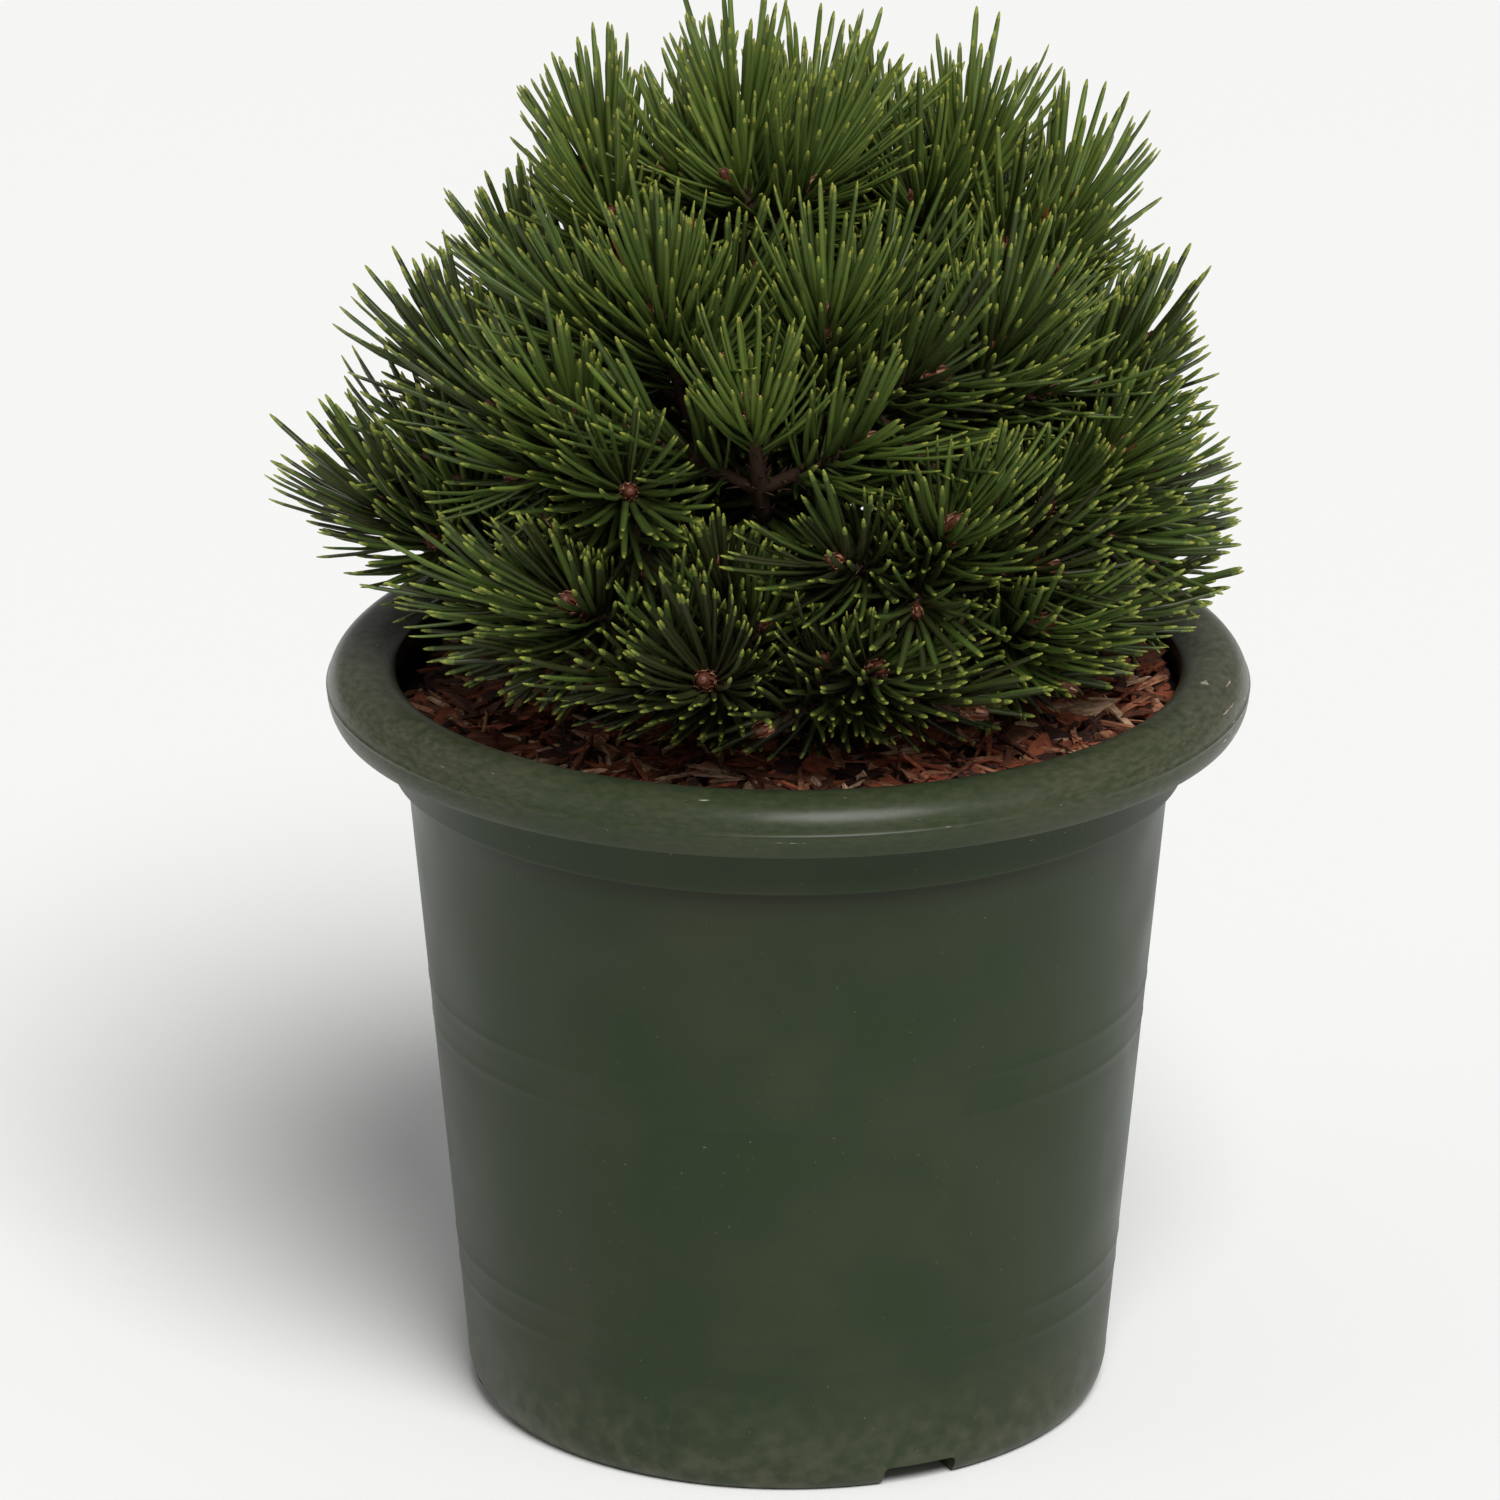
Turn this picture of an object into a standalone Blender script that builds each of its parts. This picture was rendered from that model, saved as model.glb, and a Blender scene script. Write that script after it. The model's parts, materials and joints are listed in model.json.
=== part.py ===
"""Dwarf Bosnian pine, a mounded young plant, in a round nursery pot with a rolled rim.

Frame: metres, +Z up, the pot standing on z = 0 and its front towards -Y. The pot and the plant are
modelled round the pot's own axis and hang under one empty, pot_axis, which puts the middle of the
whole object's bounding box over the origin, because the crown reaches further to one side.
"""

import math
import random

import bmesh
import bpy
from mathutils import Matrix, Quaternion, Vector

MM = 0.001
CLEARANCE = 0.3 * MM
UP = Vector((0, 0, 1))
GOLDEN_ANGLE = math.radians(137.508)
MERGE = 0.001 * MM

# Where the pot's axis stands.
POT_AXIS_X = 8.1 * MM
POT_AXIS_Y = 0.4 * MM

# Pot: one thin moulding. Radii are to the outside unless a name says otherwise.
POT_SEGMENTS = 44
POT_HEIGHT = 195 * MM
POT_WALL = 1.8 * MM
RIM_RADIUS = 115 * MM
BEAD_RADIUS = 9.2 * MM
BEAD_LIP_ANGLE = math.radians(-32)
BEAD_INNER_ANGLE = math.radians(150)
BEAD_STEPS = 5
BEAD_INSIDE_END = math.radians(105)
BEAD_INSIDE_STEPS = 3
COLLAR_RADIUS = 99.5 * MM
COLLAR_DROP = 29.5 * MM
COLLAR_SHOULDER_DROP = 11 * MM
COLLAR_STEP = 1 * MM
WALL_TOP_RADIUS = 95.4 * MM
WALL_FOOT_RADIUS = 80.4 * MM
FOOT_CORNER_HEIGHT = 11 * MM
FOOT_CORNER_DEPTH = 4.6 * MM
FOOT_CORNER_STEPS = 2
FOOT_WIDTH = 9.5 * MM
FOOT_DRAFT = 1 * MM
FLOOR_UNDERSIDE = 5.5 * MM
FLOOR_TOP = 7.5 * MM
NOTCH_AZIMUTHS = (-65.5, -162.0, 114.5, 18.0)
NOTCH_WIDTH = 19.5 * MM
NOTCH_HEIGHT = 5.2 * MM
NOTCH_CUT_LENGTH = 28 * MM
NOTCH_CUT_RADIUS = 73.5 * MM
DRAIN_RADIUS = 4.5 * MM
DRAIN_CIRCLE = 48 * MM
DRAIN_SIDES = 8

# Bark mulch that fills the pot: a low dome that tilts a little, with a level patch under the trunk.
SOIL_EDGE = 180 * MM
SOIL_CROWN = 186 * MM
SOIL_PATCH = 15.5 * MM
SOIL_TILT = 2.5 * MM
SOIL_TILT_BACK = 0.6
SOIL_BUMP = 1.6 * MM
SOIL_RINGS = 4
SOIL_SEED = 11

# A limb ends in a straight stub, square to the stem that it carries, and a bough starts in one, square
# to the trunk.
LIMB_STUB = 3 * MM
ROOT_STUB = 2.5 * MM
LIMB_PULL = 0.4

# Trunk: from a flat cut on the mulch up through the crown to the stem of the topmost mass.
TRUNK_RADIUS = 7.5 * MM
TRUNK_TIP_RADIUS = 3.2 * MM
TRUNK_FLARE = 4 * MM
TRUNK_FLARE_HEIGHT = 5 * MM
TRUNK_POINTS = 9
TRUNK_SIDES = 10

# Boughs: one limb from the trunk to the stem of each other mass. Low, high, lowest, highest and step
# are shares of the way up the trunk.
BOUGH_RADIUS = 2.9 * MM
BOUGH_TIP_RADIUS = 2.3 * MM
BOUGH_POINTS = 6
BOUGH_SIDES = 6
BOUGH_LOW = 0.06
BOUGH_HIGH = 0.80
BOUGH_LOWEST = 0.04
BOUGH_HIGHEST = 0.95
BOUGH_RISE = 0.35
BOUGH_GAP = 0.8 * MM
BOUGH_STEP = 0.012
BOUGH_TRIES = 60
BOUGH_SAMPLES = 20

# The mound that the buds of the masses' leaders lie on: half an ellipsoid.
MOUND_BASE = 196 * MM
MOUND_RADIUS = 92 * MM
MOUND_RISE = 132 * MM

# Shoots: a leader and its side shoots, each a bare foot, then a stretch with needles, then a bud.
SHOOT_FOCUS = Vector((0, 0, 205 * MM))
SHOOT_LIFT = 0.30
LEADER_LENGTH = 40 * MM
SIDE_SHOOTS = 2
SIDE_LENGTH = 32 * MM
SIDE_START = 0.30
SIDE_LEAN = math.radians(52)
SIDE_TURNS = 16
LEAST_SLANT = 0.01
SHOOT_SIDES = 5
SHOOT_RADIUS = 2.2 * MM
SHOOT_TIP_RADIUS = 1.5 * MM
SIDE_RADIUS = 2 * MM
SIDE_TIP_RADIUS = 1.3 * MM
NEEDLE_ZONE = 26 * MM

# A side shoot keeps its bud within a share of the mound's reach and above the mulch by the least rise.
# Near either limit each millimetre to spare counts as this much room.
MOST_REACH = 1.06
LEAST_RISE = 15 * MM
ROOM_AT_EDGE = 3
ROOM_SAMPLES = 6

# A shoot's core, which its needles stand out of: shares of the needle stretch, and of the core's radius.
CORE_RADIUS = 6.6 * MM
CORE_SIDES = 5
CORE_STATIONS = ((-0.15, 0.35), (0.35, 0.85), (0.80, 1.0), (1.10, 0.65))
BUD_LENGTH = 9 * MM

# Needles of the solids: fewer and stouter than life.
NEEDLE_LENGTH = 37 * MM
NEEDLE_RADIUS = 2.4 * MM
NEEDLE_SIDES = 3
NEEDLES_ON_LEADER = 13
NEEDLES_ON_SIDE = 10
LEAN_AT_FOOT = math.radians(84)
LEAN_AT_BUD = math.radians(20)
LEAN_SCATTER = math.radians(9)
LENGTH_SCATTER = 0.10
SHORTER = (1.0, 0.86, 0.74, 0.62)
NEEDLE_SAMPLES = 7

# How much nearer to its own shoots than to another mass's a needle stays: at its root, and the share
# of it that is given up by its tip.
SPACE_MARGIN = 3 * MM
SPACE_EASE = 0.7
POT_MARGIN = 1 * MM
BEAD_MARGIN = 0.5 * MM

# Each mass of foliage: where its leader's bud lies on the mound, as azimuth (from +X, the front at
# -90) and elevation in degrees, and its share of the mound's reach.
TOP_MASS = "top"
MASSES = {
    TOP_MASS: (-163, 82, 1.0),
    "top_left": (161, 59, 1.03),
    "top_back": (85, 60, 0.98),
    "top_right": (20, 60, 1.02),
    "upper_left": (-122, 50, 1.0),
    "upper_front": (-81, 50, 0.98),
    "upper_right": (-42, 43, 1.0),
    "upper_right_back": (14, 46, 1.08),
    "upper_back": (100, 36, 1.0),
    "upper_back_right": (58, 38, 1.0),
    "upper_left_back": (147, 36, 1.02),
    "middle_front": (-97, 38, 1.0),
    "middle_left": (-135, 35, 1.0),
    "shoulder_left": (176, 30, 1.0),
    "shoulder_right": (6, 30, 1.06),
    "front_right": (-63, 24, 1.0),
    "side_right": (-22, 26, 1.0),
    "side_left": (-177, 14, 1.08),
    "foot_left": (-124, 15, 1.0),
    "foot_front_left": (-102, 9, 1.0),
    "foot_front": (-77, 10, 0.98),
    "foot_right": (-49, 12, 1.0),
    "foot_right_back": (8, 12, 0.96),
    "foot_back_right": (55, 12, 1.0),
    "foot_back": (98, 10, 1.0),
    "foot_back_left": (141, 12, 1.0),
}

# Each material's name, colour and roughness.
GREEN_PLASTIC = ("green_plastic", (0.035, 0.075, 0.036), 0.42)
BARK_MULCH = ("bark_mulch", (0.115, 0.042, 0.026), 0.9)
PINE_BARK = ("pine_bark", (0.085, 0.052, 0.038), 0.85)
PINE_NEEDLES = ("pine_needles", (0.040, 0.095, 0.022), 0.5)


def clear_scene():
    """An empty scene, whatever was open."""
    for obj in list(bpy.data.objects):
        bpy.data.objects.remove(obj)


def new_collection(name):
    collection = bpy.data.collections.new(name)
    bpy.context.scene.collection.children.link(collection)
    return collection


def new_material(name, colour, roughness):
    material = bpy.data.materials.new(name)
    material.use_nodes = True
    shader = material.node_tree.nodes["Principled BSDF"]
    shader.inputs["Base Color"].default_value = (*colour, 1)
    shader.inputs["Roughness"].default_value = roughness
    shader.inputs["Metallic"].default_value = 0
    return material


def new_object(name, data, collection, material=None):
    obj = bpy.data.objects.new(name, data)
    collection.objects.link(obj)
    if material:
        obj.data.materials.append(material)
    return obj


def finished_mesh(obj):
    """The object's mesh with its modifiers worked out."""
    bpy.context.view_layer.update()
    graph = bpy.context.evaluated_depsgraph_get()
    return bpy.data.meshes.new_from_object(obj.evaluated_get(graph))


def polar(azimuth, radius, height):
    return Vector((radius * math.cos(azimuth), radius * math.sin(azimuth), height))


def arc(centre, radii, start, end, steps):
    """Points (radius, height) along part of an ellipse, both ends included."""
    turns = [start + (end - start) * i / steps for i in range(steps + 1)]
    return [(centre[0] + radii[0] * math.cos(a), centre[1] + radii[1] * math.sin(a)) for a in turns]


def turned(name, profile, segments, collection, material):
    """A ring or cup turned about the Z axis from a closed outline that runs down its outer side."""
    mesh = bpy.data.meshes.new(name)
    count = len(profile)
    edges = [(i, (i + 1) % count) for i in range(count)]
    mesh.from_pydata([(r, 0, z) for r, z in profile], edges, [])
    obj = new_object(name, mesh, collection, material)
    screw = obj.modifiers.new("turn", "SCREW")
    screw.steps = screw.render_steps = segments
    screw.use_merge_vertices = True
    screw.merge_threshold = MERGE
    screw.use_smooth_shade = True
    return obj


def wall_radius(height):
    """Outside radius of the tapering wall."""
    share = height / (POT_HEIGHT - COLLAR_DROP)
    return WALL_FOOT_RADIUS + (WALL_TOP_RADIUS - WALL_FOOT_RADIUS) * share


def inner_radius(height):
    """Inside radius of the pot at a height between its floor and its rim."""
    if height < POT_HEIGHT - COLLAR_DROP:
        return wall_radius(height) - POT_WALL
    return COLLAR_RADIUS - POT_WALL


def pot_outline():
    """The pot's section: down the outside from the rim, across the foot and up the inside."""
    bead = (RIM_RADIUS - BEAD_RADIUS, POT_HEIGHT - BEAD_RADIUS)
    inside = BEAD_RADIUS - POT_WALL
    collar_foot = POT_HEIGHT - COLLAR_DROP
    shoulder = POT_HEIGHT - COLLAR_SHOULDER_DROP
    corner = (wall_radius(FOOT_CORNER_HEIGHT) - FOOT_CORNER_DEPTH, FOOT_CORNER_HEIGHT)
    corner_radii = (FOOT_CORNER_DEPTH, FOOT_CORNER_HEIGHT)
    foot_inner = corner[0] - FOOT_WIDTH
    outline = arc(bead, (BEAD_RADIUS, BEAD_RADIUS), BEAD_INNER_ANGLE, BEAD_LIP_ANGLE, BEAD_STEPS)
    outline += arc(bead, (inside, inside), BEAD_LIP_ANGLE, BEAD_INSIDE_END, BEAD_INSIDE_STEPS)
    outline += [
        (COLLAR_RADIUS, shoulder),
        (COLLAR_RADIUS, collar_foot + COLLAR_STEP),
        (WALL_TOP_RADIUS, collar_foot),
    ]
    outline += arc(corner, corner_radii, 0, math.radians(-90), FOOT_CORNER_STEPS)
    outline += [
        (foot_inner, 0),
        (foot_inner - FOOT_DRAFT, FLOOR_UNDERSIDE),
        (0, FLOOR_UNDERSIDE),
        (0, FLOOR_TOP),
        (wall_radius(FLOOR_TOP) - POT_WALL, FLOOR_TOP),
        (WALL_TOP_RADIUS - POT_WALL, collar_foot),
        (COLLAR_RADIUS - POT_WALL, collar_foot + COLLAR_STEP),
        (COLLAR_RADIUS - POT_WALL, shoulder),
    ]
    return outline


def box_cutter(name, size, place, turn, cutters):
    bpy.ops.mesh.primitive_cube_add(size=1)
    cutter = bpy.context.object
    cutter.name = name
    for owner in list(cutter.users_collection):
        owner.objects.unlink(cutter)
    cutters.objects.link(cutter)
    cutter.data.transform(Matrix.Diagonal((*size, 1)))
    cutter.location = place
    cutter.rotation_euler = (0, 0, turn)
    return cutter


def drain_cutter(name, place, cutters):
    mesh = bpy.data.meshes.new(name)
    work = bmesh.new()
    bmesh.ops.create_cone(
        work,
        cap_ends=True,
        segments=DRAIN_SIDES,
        radius1=DRAIN_RADIUS,
        radius2=DRAIN_RADIUS,
        depth=2 * FLOOR_TOP,
    )
    work.to_mesh(mesh)
    work.free()
    cutter = new_object(name, mesh, cutters)
    cutter.location = place
    return cutter


def make_pot(parts, cutters, material):
    """The pot, with notches through its foot and drain holes in its floor."""
    pot = turned("pot", pot_outline(), POT_SEGMENTS, parts, material)
    for i, degrees in enumerate(NOTCH_AZIMUTHS):
        azimuth = math.radians(degrees)
        centre = polar(azimuth, NOTCH_CUT_RADIUS, 0)
        size = (NOTCH_CUT_LENGTH, NOTCH_WIDTH, 2 * NOTCH_HEIGHT)
        cutter = box_cutter(f"notch_cutter_{i}", size, centre, azimuth, cutters)
        hide_helper(cutter)
        drain = polar(azimuth, DRAIN_CIRCLE, FLOOR_TOP)
        hide_helper(drain_cutter(f"drain_cutter_{i}", drain, cutters))
    cut = pot.modifiers.new("foot_and_drains", "BOOLEAN")
    cut.operation = "DIFFERENCE"
    cut.operand_type = "COLLECTION"
    cut.collection = cutters
    cut.solver = "EXACT"
    return pot


def hide_helper(obj):
    obj.hide_render = True
    obj.display_type = "WIRE"


def soil_height(x, y):
    """Height of the mulch, with a level patch under the trunk."""
    radius = math.hypot(x, y)
    if radius < SOIL_PATCH:
        return SOIL_CROWN
    edge = inner_radius(SOIL_EDGE)
    share = min(1, (radius - SOIL_PATCH) / (edge - SOIL_PATCH))
    dome = SOIL_CROWN + (SOIL_EDGE - SOIL_CROWN) * share * share
    return dome + SOIL_TILT * (x + SOIL_TILT_BACK * y) / edge * share


def make_soil(parts, material):
    """The mulch and the root ball under it, one plug that fills the pot."""
    collar_foot = POT_HEIGHT - COLLAR_DROP
    gap = 2 * CLEARANCE
    edge = inner_radius(SOIL_EDGE) - gap
    rings = [SOIL_PATCH + (edge - SOIL_PATCH) * i / SOIL_RINGS for i in range(SOIL_RINGS + 1)]
    outline = [(0, SOIL_CROWN)] + [(r, soil_height(r, 0)) for r in rings]
    outline += [
        (edge, collar_foot + COLLAR_STEP + gap),
        (WALL_TOP_RADIUS - POT_WALL - gap, collar_foot + gap),
        (wall_radius(FLOOR_TOP) - POT_WALL - gap, FLOOR_TOP + CLEARANCE),
        (0, FLOOR_TOP + CLEARANCE),
    ]
    blank = turned("soil_blank", outline, POT_SEGMENTS, parts, material)
    mesh = finished_mesh(blank)
    bpy.data.objects.remove(blank)
    dice = random.Random(SOIL_SEED)
    halfway = (SOIL_EDGE + collar_foot) / 2
    for vertex in mesh.vertices:
        x, y, z = vertex.co
        radius = math.hypot(x, y)
        if z > halfway and radius > SOIL_PATCH + CLEARANCE:
            vertex.co.z = soil_height(x, y)
            if radius < edge - CLEARANCE:
                vertex.co.z += SOIL_BUMP * dice.uniform(-1, 1)
    return new_object("soil", mesh, parts)


def limb(name, points, radii, sides, parts, material):
    """A tapering round limb along a run of points, with flat ends."""
    curve = bpy.data.curves.new(name, "CURVE")
    curve.dimensions = "3D"
    curve.bevel_depth = 1
    curve.bevel_resolution = (sides - 4) // 2
    curve.use_fill_caps = True
    spline = curve.splines.new("POLY")
    spline.points.add(len(points) - 1)
    for target, place, radius in zip(spline.points, points, radii):
        target.co = (*place, 1)
        target.radius = radius
    return new_object(name, curve, parts, material)


def trunk_line():
    """The trunk's centre line, from its flat foot on the mulch to just short of the top mass's stem."""
    foot = Vector((0, 0, SOIL_CROWN + CLEARANCE))
    top, bud = leader(MASSES[TOP_MASS])
    arriving = (bud - top).normalized()
    upright = Vector((0, 0, 2 * TRUNK_FLARE_HEIGHT))
    rest = smooth_limb(foot + upright, UP, top - arriving * CLEARANCE, arriving, TRUNK_POINTS - 1)
    return [foot] + rest


def along(points, share):
    """The point at a share of the way along a run of points."""
    place = share * (len(points) - 1)
    i = min(int(place), len(points) - 2)
    return points[i].lerp(points[i + 1], place - i)


def trunk_radius(height):
    """The trunk's radius to its corners, at a height above the mulch."""
    length = MOUND_BASE + MOUND_RISE - LEADER_LENGTH - SOIL_CROWN
    flare = TRUNK_FLARE * math.exp(-height / TRUNK_FLARE_HEIGHT)
    return TRUNK_RADIUS + (TRUNK_TIP_RADIUS - TRUNK_RADIUS) * min(1, height / length) + flare


def make_trunk(parts, material):
    points = trunk_line()
    radii = [trunk_radius(p.z - SOIL_CROWN) for p in points]
    return limb("trunk", points, radii, TRUNK_SIDES, parts, material)


def on_mound(spec):
    """The place of a bud from its azimuth, elevation and share of the mound's reach."""
    azimuth, elevation = math.radians(spec[0]), math.radians(spec[1])
    across = MOUND_RADIUS * math.cos(elevation) * spec[2]
    return polar(azimuth, across, MOUND_BASE + MOUND_RISE * math.sin(elevation) * spec[2])


def leader(spec):
    """(foot, bud) of a mass's leader, which points away from the mound's focus and a little up."""
    bud = on_mound(spec)
    axis = ((bud - SHOOT_FOCUS).normalized() + SHOOT_LIFT * UP).normalized()
    return bud - axis * LEADER_LENGTH, bud


def side_shoot(foot, bud, turn):
    """(start, bud) of a side shoot, which leans off the leader, at a turn round it from straight up."""
    axis = (bud - foot).normalized()
    across = axis.cross(UP)
    across = across.normalized() if across.length > LEAST_SLANT else Vector((1, 0, 0))
    way = Quaternion(axis, turn) @ (Quaternion(across, SIDE_LEAN) @ axis)
    start = foot.lerp(bud, SIDE_START)
    return start, start + way * SIDE_LENGTH


def room_for(shoot, siblings, others):
    """The least distance of a side shoot's needle stretch from the other masses' shoots, of its bud
    from its siblings, and of its bud from the mulch and from the furthest reach of the mound."""
    start, bud = shoot
    way = (bud - start).normalized()
    low = bud - way * NEEDLE_ZONE
    high = bud + way * BUD_LENGTH
    samples = [low.lerp(high, i / ROOM_SAMPLES) for i in range(ROOM_SAMPLES + 1)]
    reach = Vector((bud.x / MOUND_RADIUS, bud.y / MOUND_RADIUS, (bud.z - MOUND_BASE) / MOUND_RISE))
    spare = (MOST_REACH - reach.length) * MOUND_RADIUS
    above = bud.z - SOIL_CROWN - LEAST_RISE
    distances = [nearest(p, others) for p in samples]
    if siblings:
        distances.append(nearest(bud, siblings))
    return min(distances + [ROOM_AT_EDGE * spare, ROOM_AT_EDGE * above])


def all_shoots():
    """{mass: [(foot, bud)]}: the leaders, then side shoots that each turn to where there's most room."""
    shoots = {name: [leader(spec)] for name, spec in MASSES.items()}
    for _ in range(SIDE_SHOOTS):
        for name, own in shoots.items():
            others = [s for other, theirs in shoots.items() if other != name for s in theirs]
            turns = [2 * math.pi * i / SIDE_TURNS for i in range(SIDE_TURNS)]
            choices = [side_shoot(*own[0], turn) for turn in turns]
            room, best = max((room_for(c, own[1:], others), i) for i, c in enumerate(choices))
            if room > 2 * CORE_RADIUS + 2 * CLEARANCE:
                own.append(choices[best])
    return shoots


def smooth_limb(start, leaving, tip, arriving, count):
    """Points along a cubic from start, leaving one way, to a short straight stub before its tip."""
    end = tip - arriving * LIMB_STUB
    pull = (end - start).length * LIMB_PULL
    controls = (start, start + leaving * pull, end - arriving * pull, end)
    points = []
    for i in range(count - 1):
        t = i / (count - 2)
        weights = ((1 - t) ** 3, 3 * t * (1 - t) ** 2, 3 * t * t * (1 - t), t**3)
        points.append(sum((w * c for w, c in zip(weights, controls)), Vector()))
    return points + [tip]


def bough_line(trunk, share, foot, bud):
    """A bough's centre line from the trunk's side, at a share of its way up, to the mass's stem."""
    root = along(trunk, share)
    outward = Vector((foot.x - root.x, foot.y - root.y, 0)).normalized()
    leaving = (outward + BOUGH_RISE * UP).normalized()
    arriving = (bud - foot).normalized()
    seat = root + outward * (trunk_radius(root.z - BOUGH_RADIUS - SOIL_CROWN) + CLEARANCE)
    start = seat + outward * ROOT_STUB
    tip = foot - arriving * CLEARANCE
    return [seat] + smooth_limb(start, leaving, tip, arriving, BOUGH_POINTS - 1)


def pairs(points):
    return list(zip(points, points[1:]))


def is_clear(points, segments, radius):
    """True where a bough through the points keeps its gap to segments of that radius."""
    least = BOUGH_RADIUS + radius + BOUGH_GAP
    return not segments or all(nearest(p, segments) > least for p in points)


def bough_lines(shoots):
    """{mass: points} for each bough.

    They leave the trunk one above another in the order of their masses' heights, and each takes the
    nearest place to its own that leaves it clear of the boughs before it and of the other masses.
    """
    trunk = trunk_line()
    order = sorted((name for name in MASSES if name != TOP_MASS), key=lambda n: shoots[n][0][0].z)
    lines = {}
    for i, name in enumerate(order):
        own = BOUGH_LOW + (BOUGH_HIGH - BOUGH_LOW) * i / (len(order) - 1)
        limbs = [pair for points in lines.values() for pair in pairs(points)]
        stems = [s for other, theirs in shoots.items() if other != name for s in theirs]
        for step in range(BOUGH_TRIES):
            share = own + BOUGH_STEP * ((step + 1) // 2) * (1 if step % 2 else -1)
            share = min(BOUGH_HIGHEST, max(BOUGH_LOWEST, share))
            line = bough_line(trunk, share, *shoots[name][0])
            samples = [along(line, k / BOUGH_SAMPLES) for k in range(BOUGH_SAMPLES + 1)]
            if is_clear(samples, limbs, BOUGH_RADIUS) and is_clear(samples, stems, CORE_RADIUS):
                break
        else:
            raise ValueError(f"no free place on the trunk for the bough to {name}")
        lines[name] = line
    return lines


def make_boughs(lines, parts, material):
    for name, points in lines.items():
        shares = [i / (BOUGH_POINTS - 1) for i in range(BOUGH_POINTS)]
        radii = [BOUGH_RADIUS + (BOUGH_TIP_RADIUS - BOUGH_RADIUS) * s for s in shares]
        limb(f"bough_{name}", points, radii, BOUGH_SIDES, parts, material)


def distance_to_segment(point, start, end):
    run = end - start
    share = max(0, min(1, (point - start).dot(run) / run.length_squared))
    return (point - start - run * share).length


def nearest(point, segments):
    return min(distance_to_segment(point, a, b) for a, b in segments)


def clear_of_pot(point, radius):
    """True where a needle of that radius touches neither the pot nor the mulch."""
    across = math.hypot(point.x, point.y)
    margin = radius + POT_MARGIN
    if point.z > POT_HEIGHT + margin or across > RIM_RADIUS + margin:
        return point.z > 0
    bead = (RIM_RADIUS - BEAD_RADIUS, POT_HEIGHT - BEAD_RADIUS)
    if math.hypot(across - bead[0], point.z - bead[1]) < BEAD_RADIUS + radius + BEAD_MARGIN:
        return False
    mulch = soil_height(point.x, point.y) + SOIL_BUMP
    return across < inner_radius(point.z) - margin and point.z > mulch + radius + CLEARANCE


class Surroundings:
    """What a needle has to stay clear of: the pot, the limbs, and the other masses' shoots."""

    def __init__(self, shoots, boughs):
        self.shoots = shoots
        self.limbs = [(a, b, trunk_radius(a.z - SOIL_CROWN)) for a, b in pairs(trunk_line())]
        for points in boughs.values():
            self.limbs += [(a, b, BOUGH_RADIUS) for a, b in pairs(points)]

    def allow(self, name, root, tip, radius):
        """True where a needle from root to tip keeps to the space of its own mass."""
        own = self.shoots[name]
        others = [s for other, shoots in self.shoots.items() if other != name for s in shoots]
        for i in range(NEEDLE_SAMPLES + 1):
            share = i / NEEDLE_SAMPLES
            point = root.lerp(tip, share)
            thick = radius * (1 - share)
            if not clear_of_pot(point, thick):
                return False
            if any(distance_to_segment(point, a, b) < r + thick + CLEARANCE for a, b, r in self.limbs):
                return False
            margin = SPACE_MARGIN * (1 - SPACE_EASE * share)
            if nearest(point, others) < nearest(point, own) + margin:
                return False
        return True


def needle_ways(foot, bud, count, dice):
    """Yields (root, way) of the needles of one shoot, in a spiral from its foot to its bud.

    Low on the shoot a needle stands almost straight out, and near the bud it points forwards.
    """
    axis = (bud - foot).normalized()
    across = axis.orthogonal().normalized()
    turn = dice.uniform(0, 2 * math.pi)
    for i in range(count):
        share = (i + 0.5) / count
        root = bud - axis * NEEDLE_ZONE * (1 - share)
        lean = LEAN_AT_FOOT + (LEAN_AT_BUD - LEAN_AT_FOOT) * share
        lean += dice.uniform(-1, 1) * LEAN_SCATTER
        turn += GOLDEN_ANGLE
        sideways = Quaternion(axis, turn) @ across
        yield root, axis * math.cos(lean) + sideways * math.sin(lean)


def add_cone(work, start, end, radius1, radius2, sides):
    """A round or pointed stick from start to end, added to a bmesh."""
    run = end - start
    middle = (start + end) / 2
    turn = run.to_track_quat("Z", "Y").to_matrix().to_4x4()
    bmesh.ops.create_cone(
        work,
        cap_ends=True,
        cap_tris=False,
        segments=sides,
        radius1=radius1,
        radius2=radius2,
        depth=run.length,
        matrix=Matrix.Translation(middle) @ turn,
    )


def stick(name, start, end, radius1, radius2, sides, collection):
    work = bmesh.new()
    add_cone(work, start, end, radius1, radius2, sides)
    bmesh.ops.remove_doubles(work, verts=work.verts, dist=MERGE)
    mesh = bpy.data.meshes.new(name)
    work.to_mesh(mesh)
    work.free()
    return new_object(name, mesh, collection)


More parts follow.
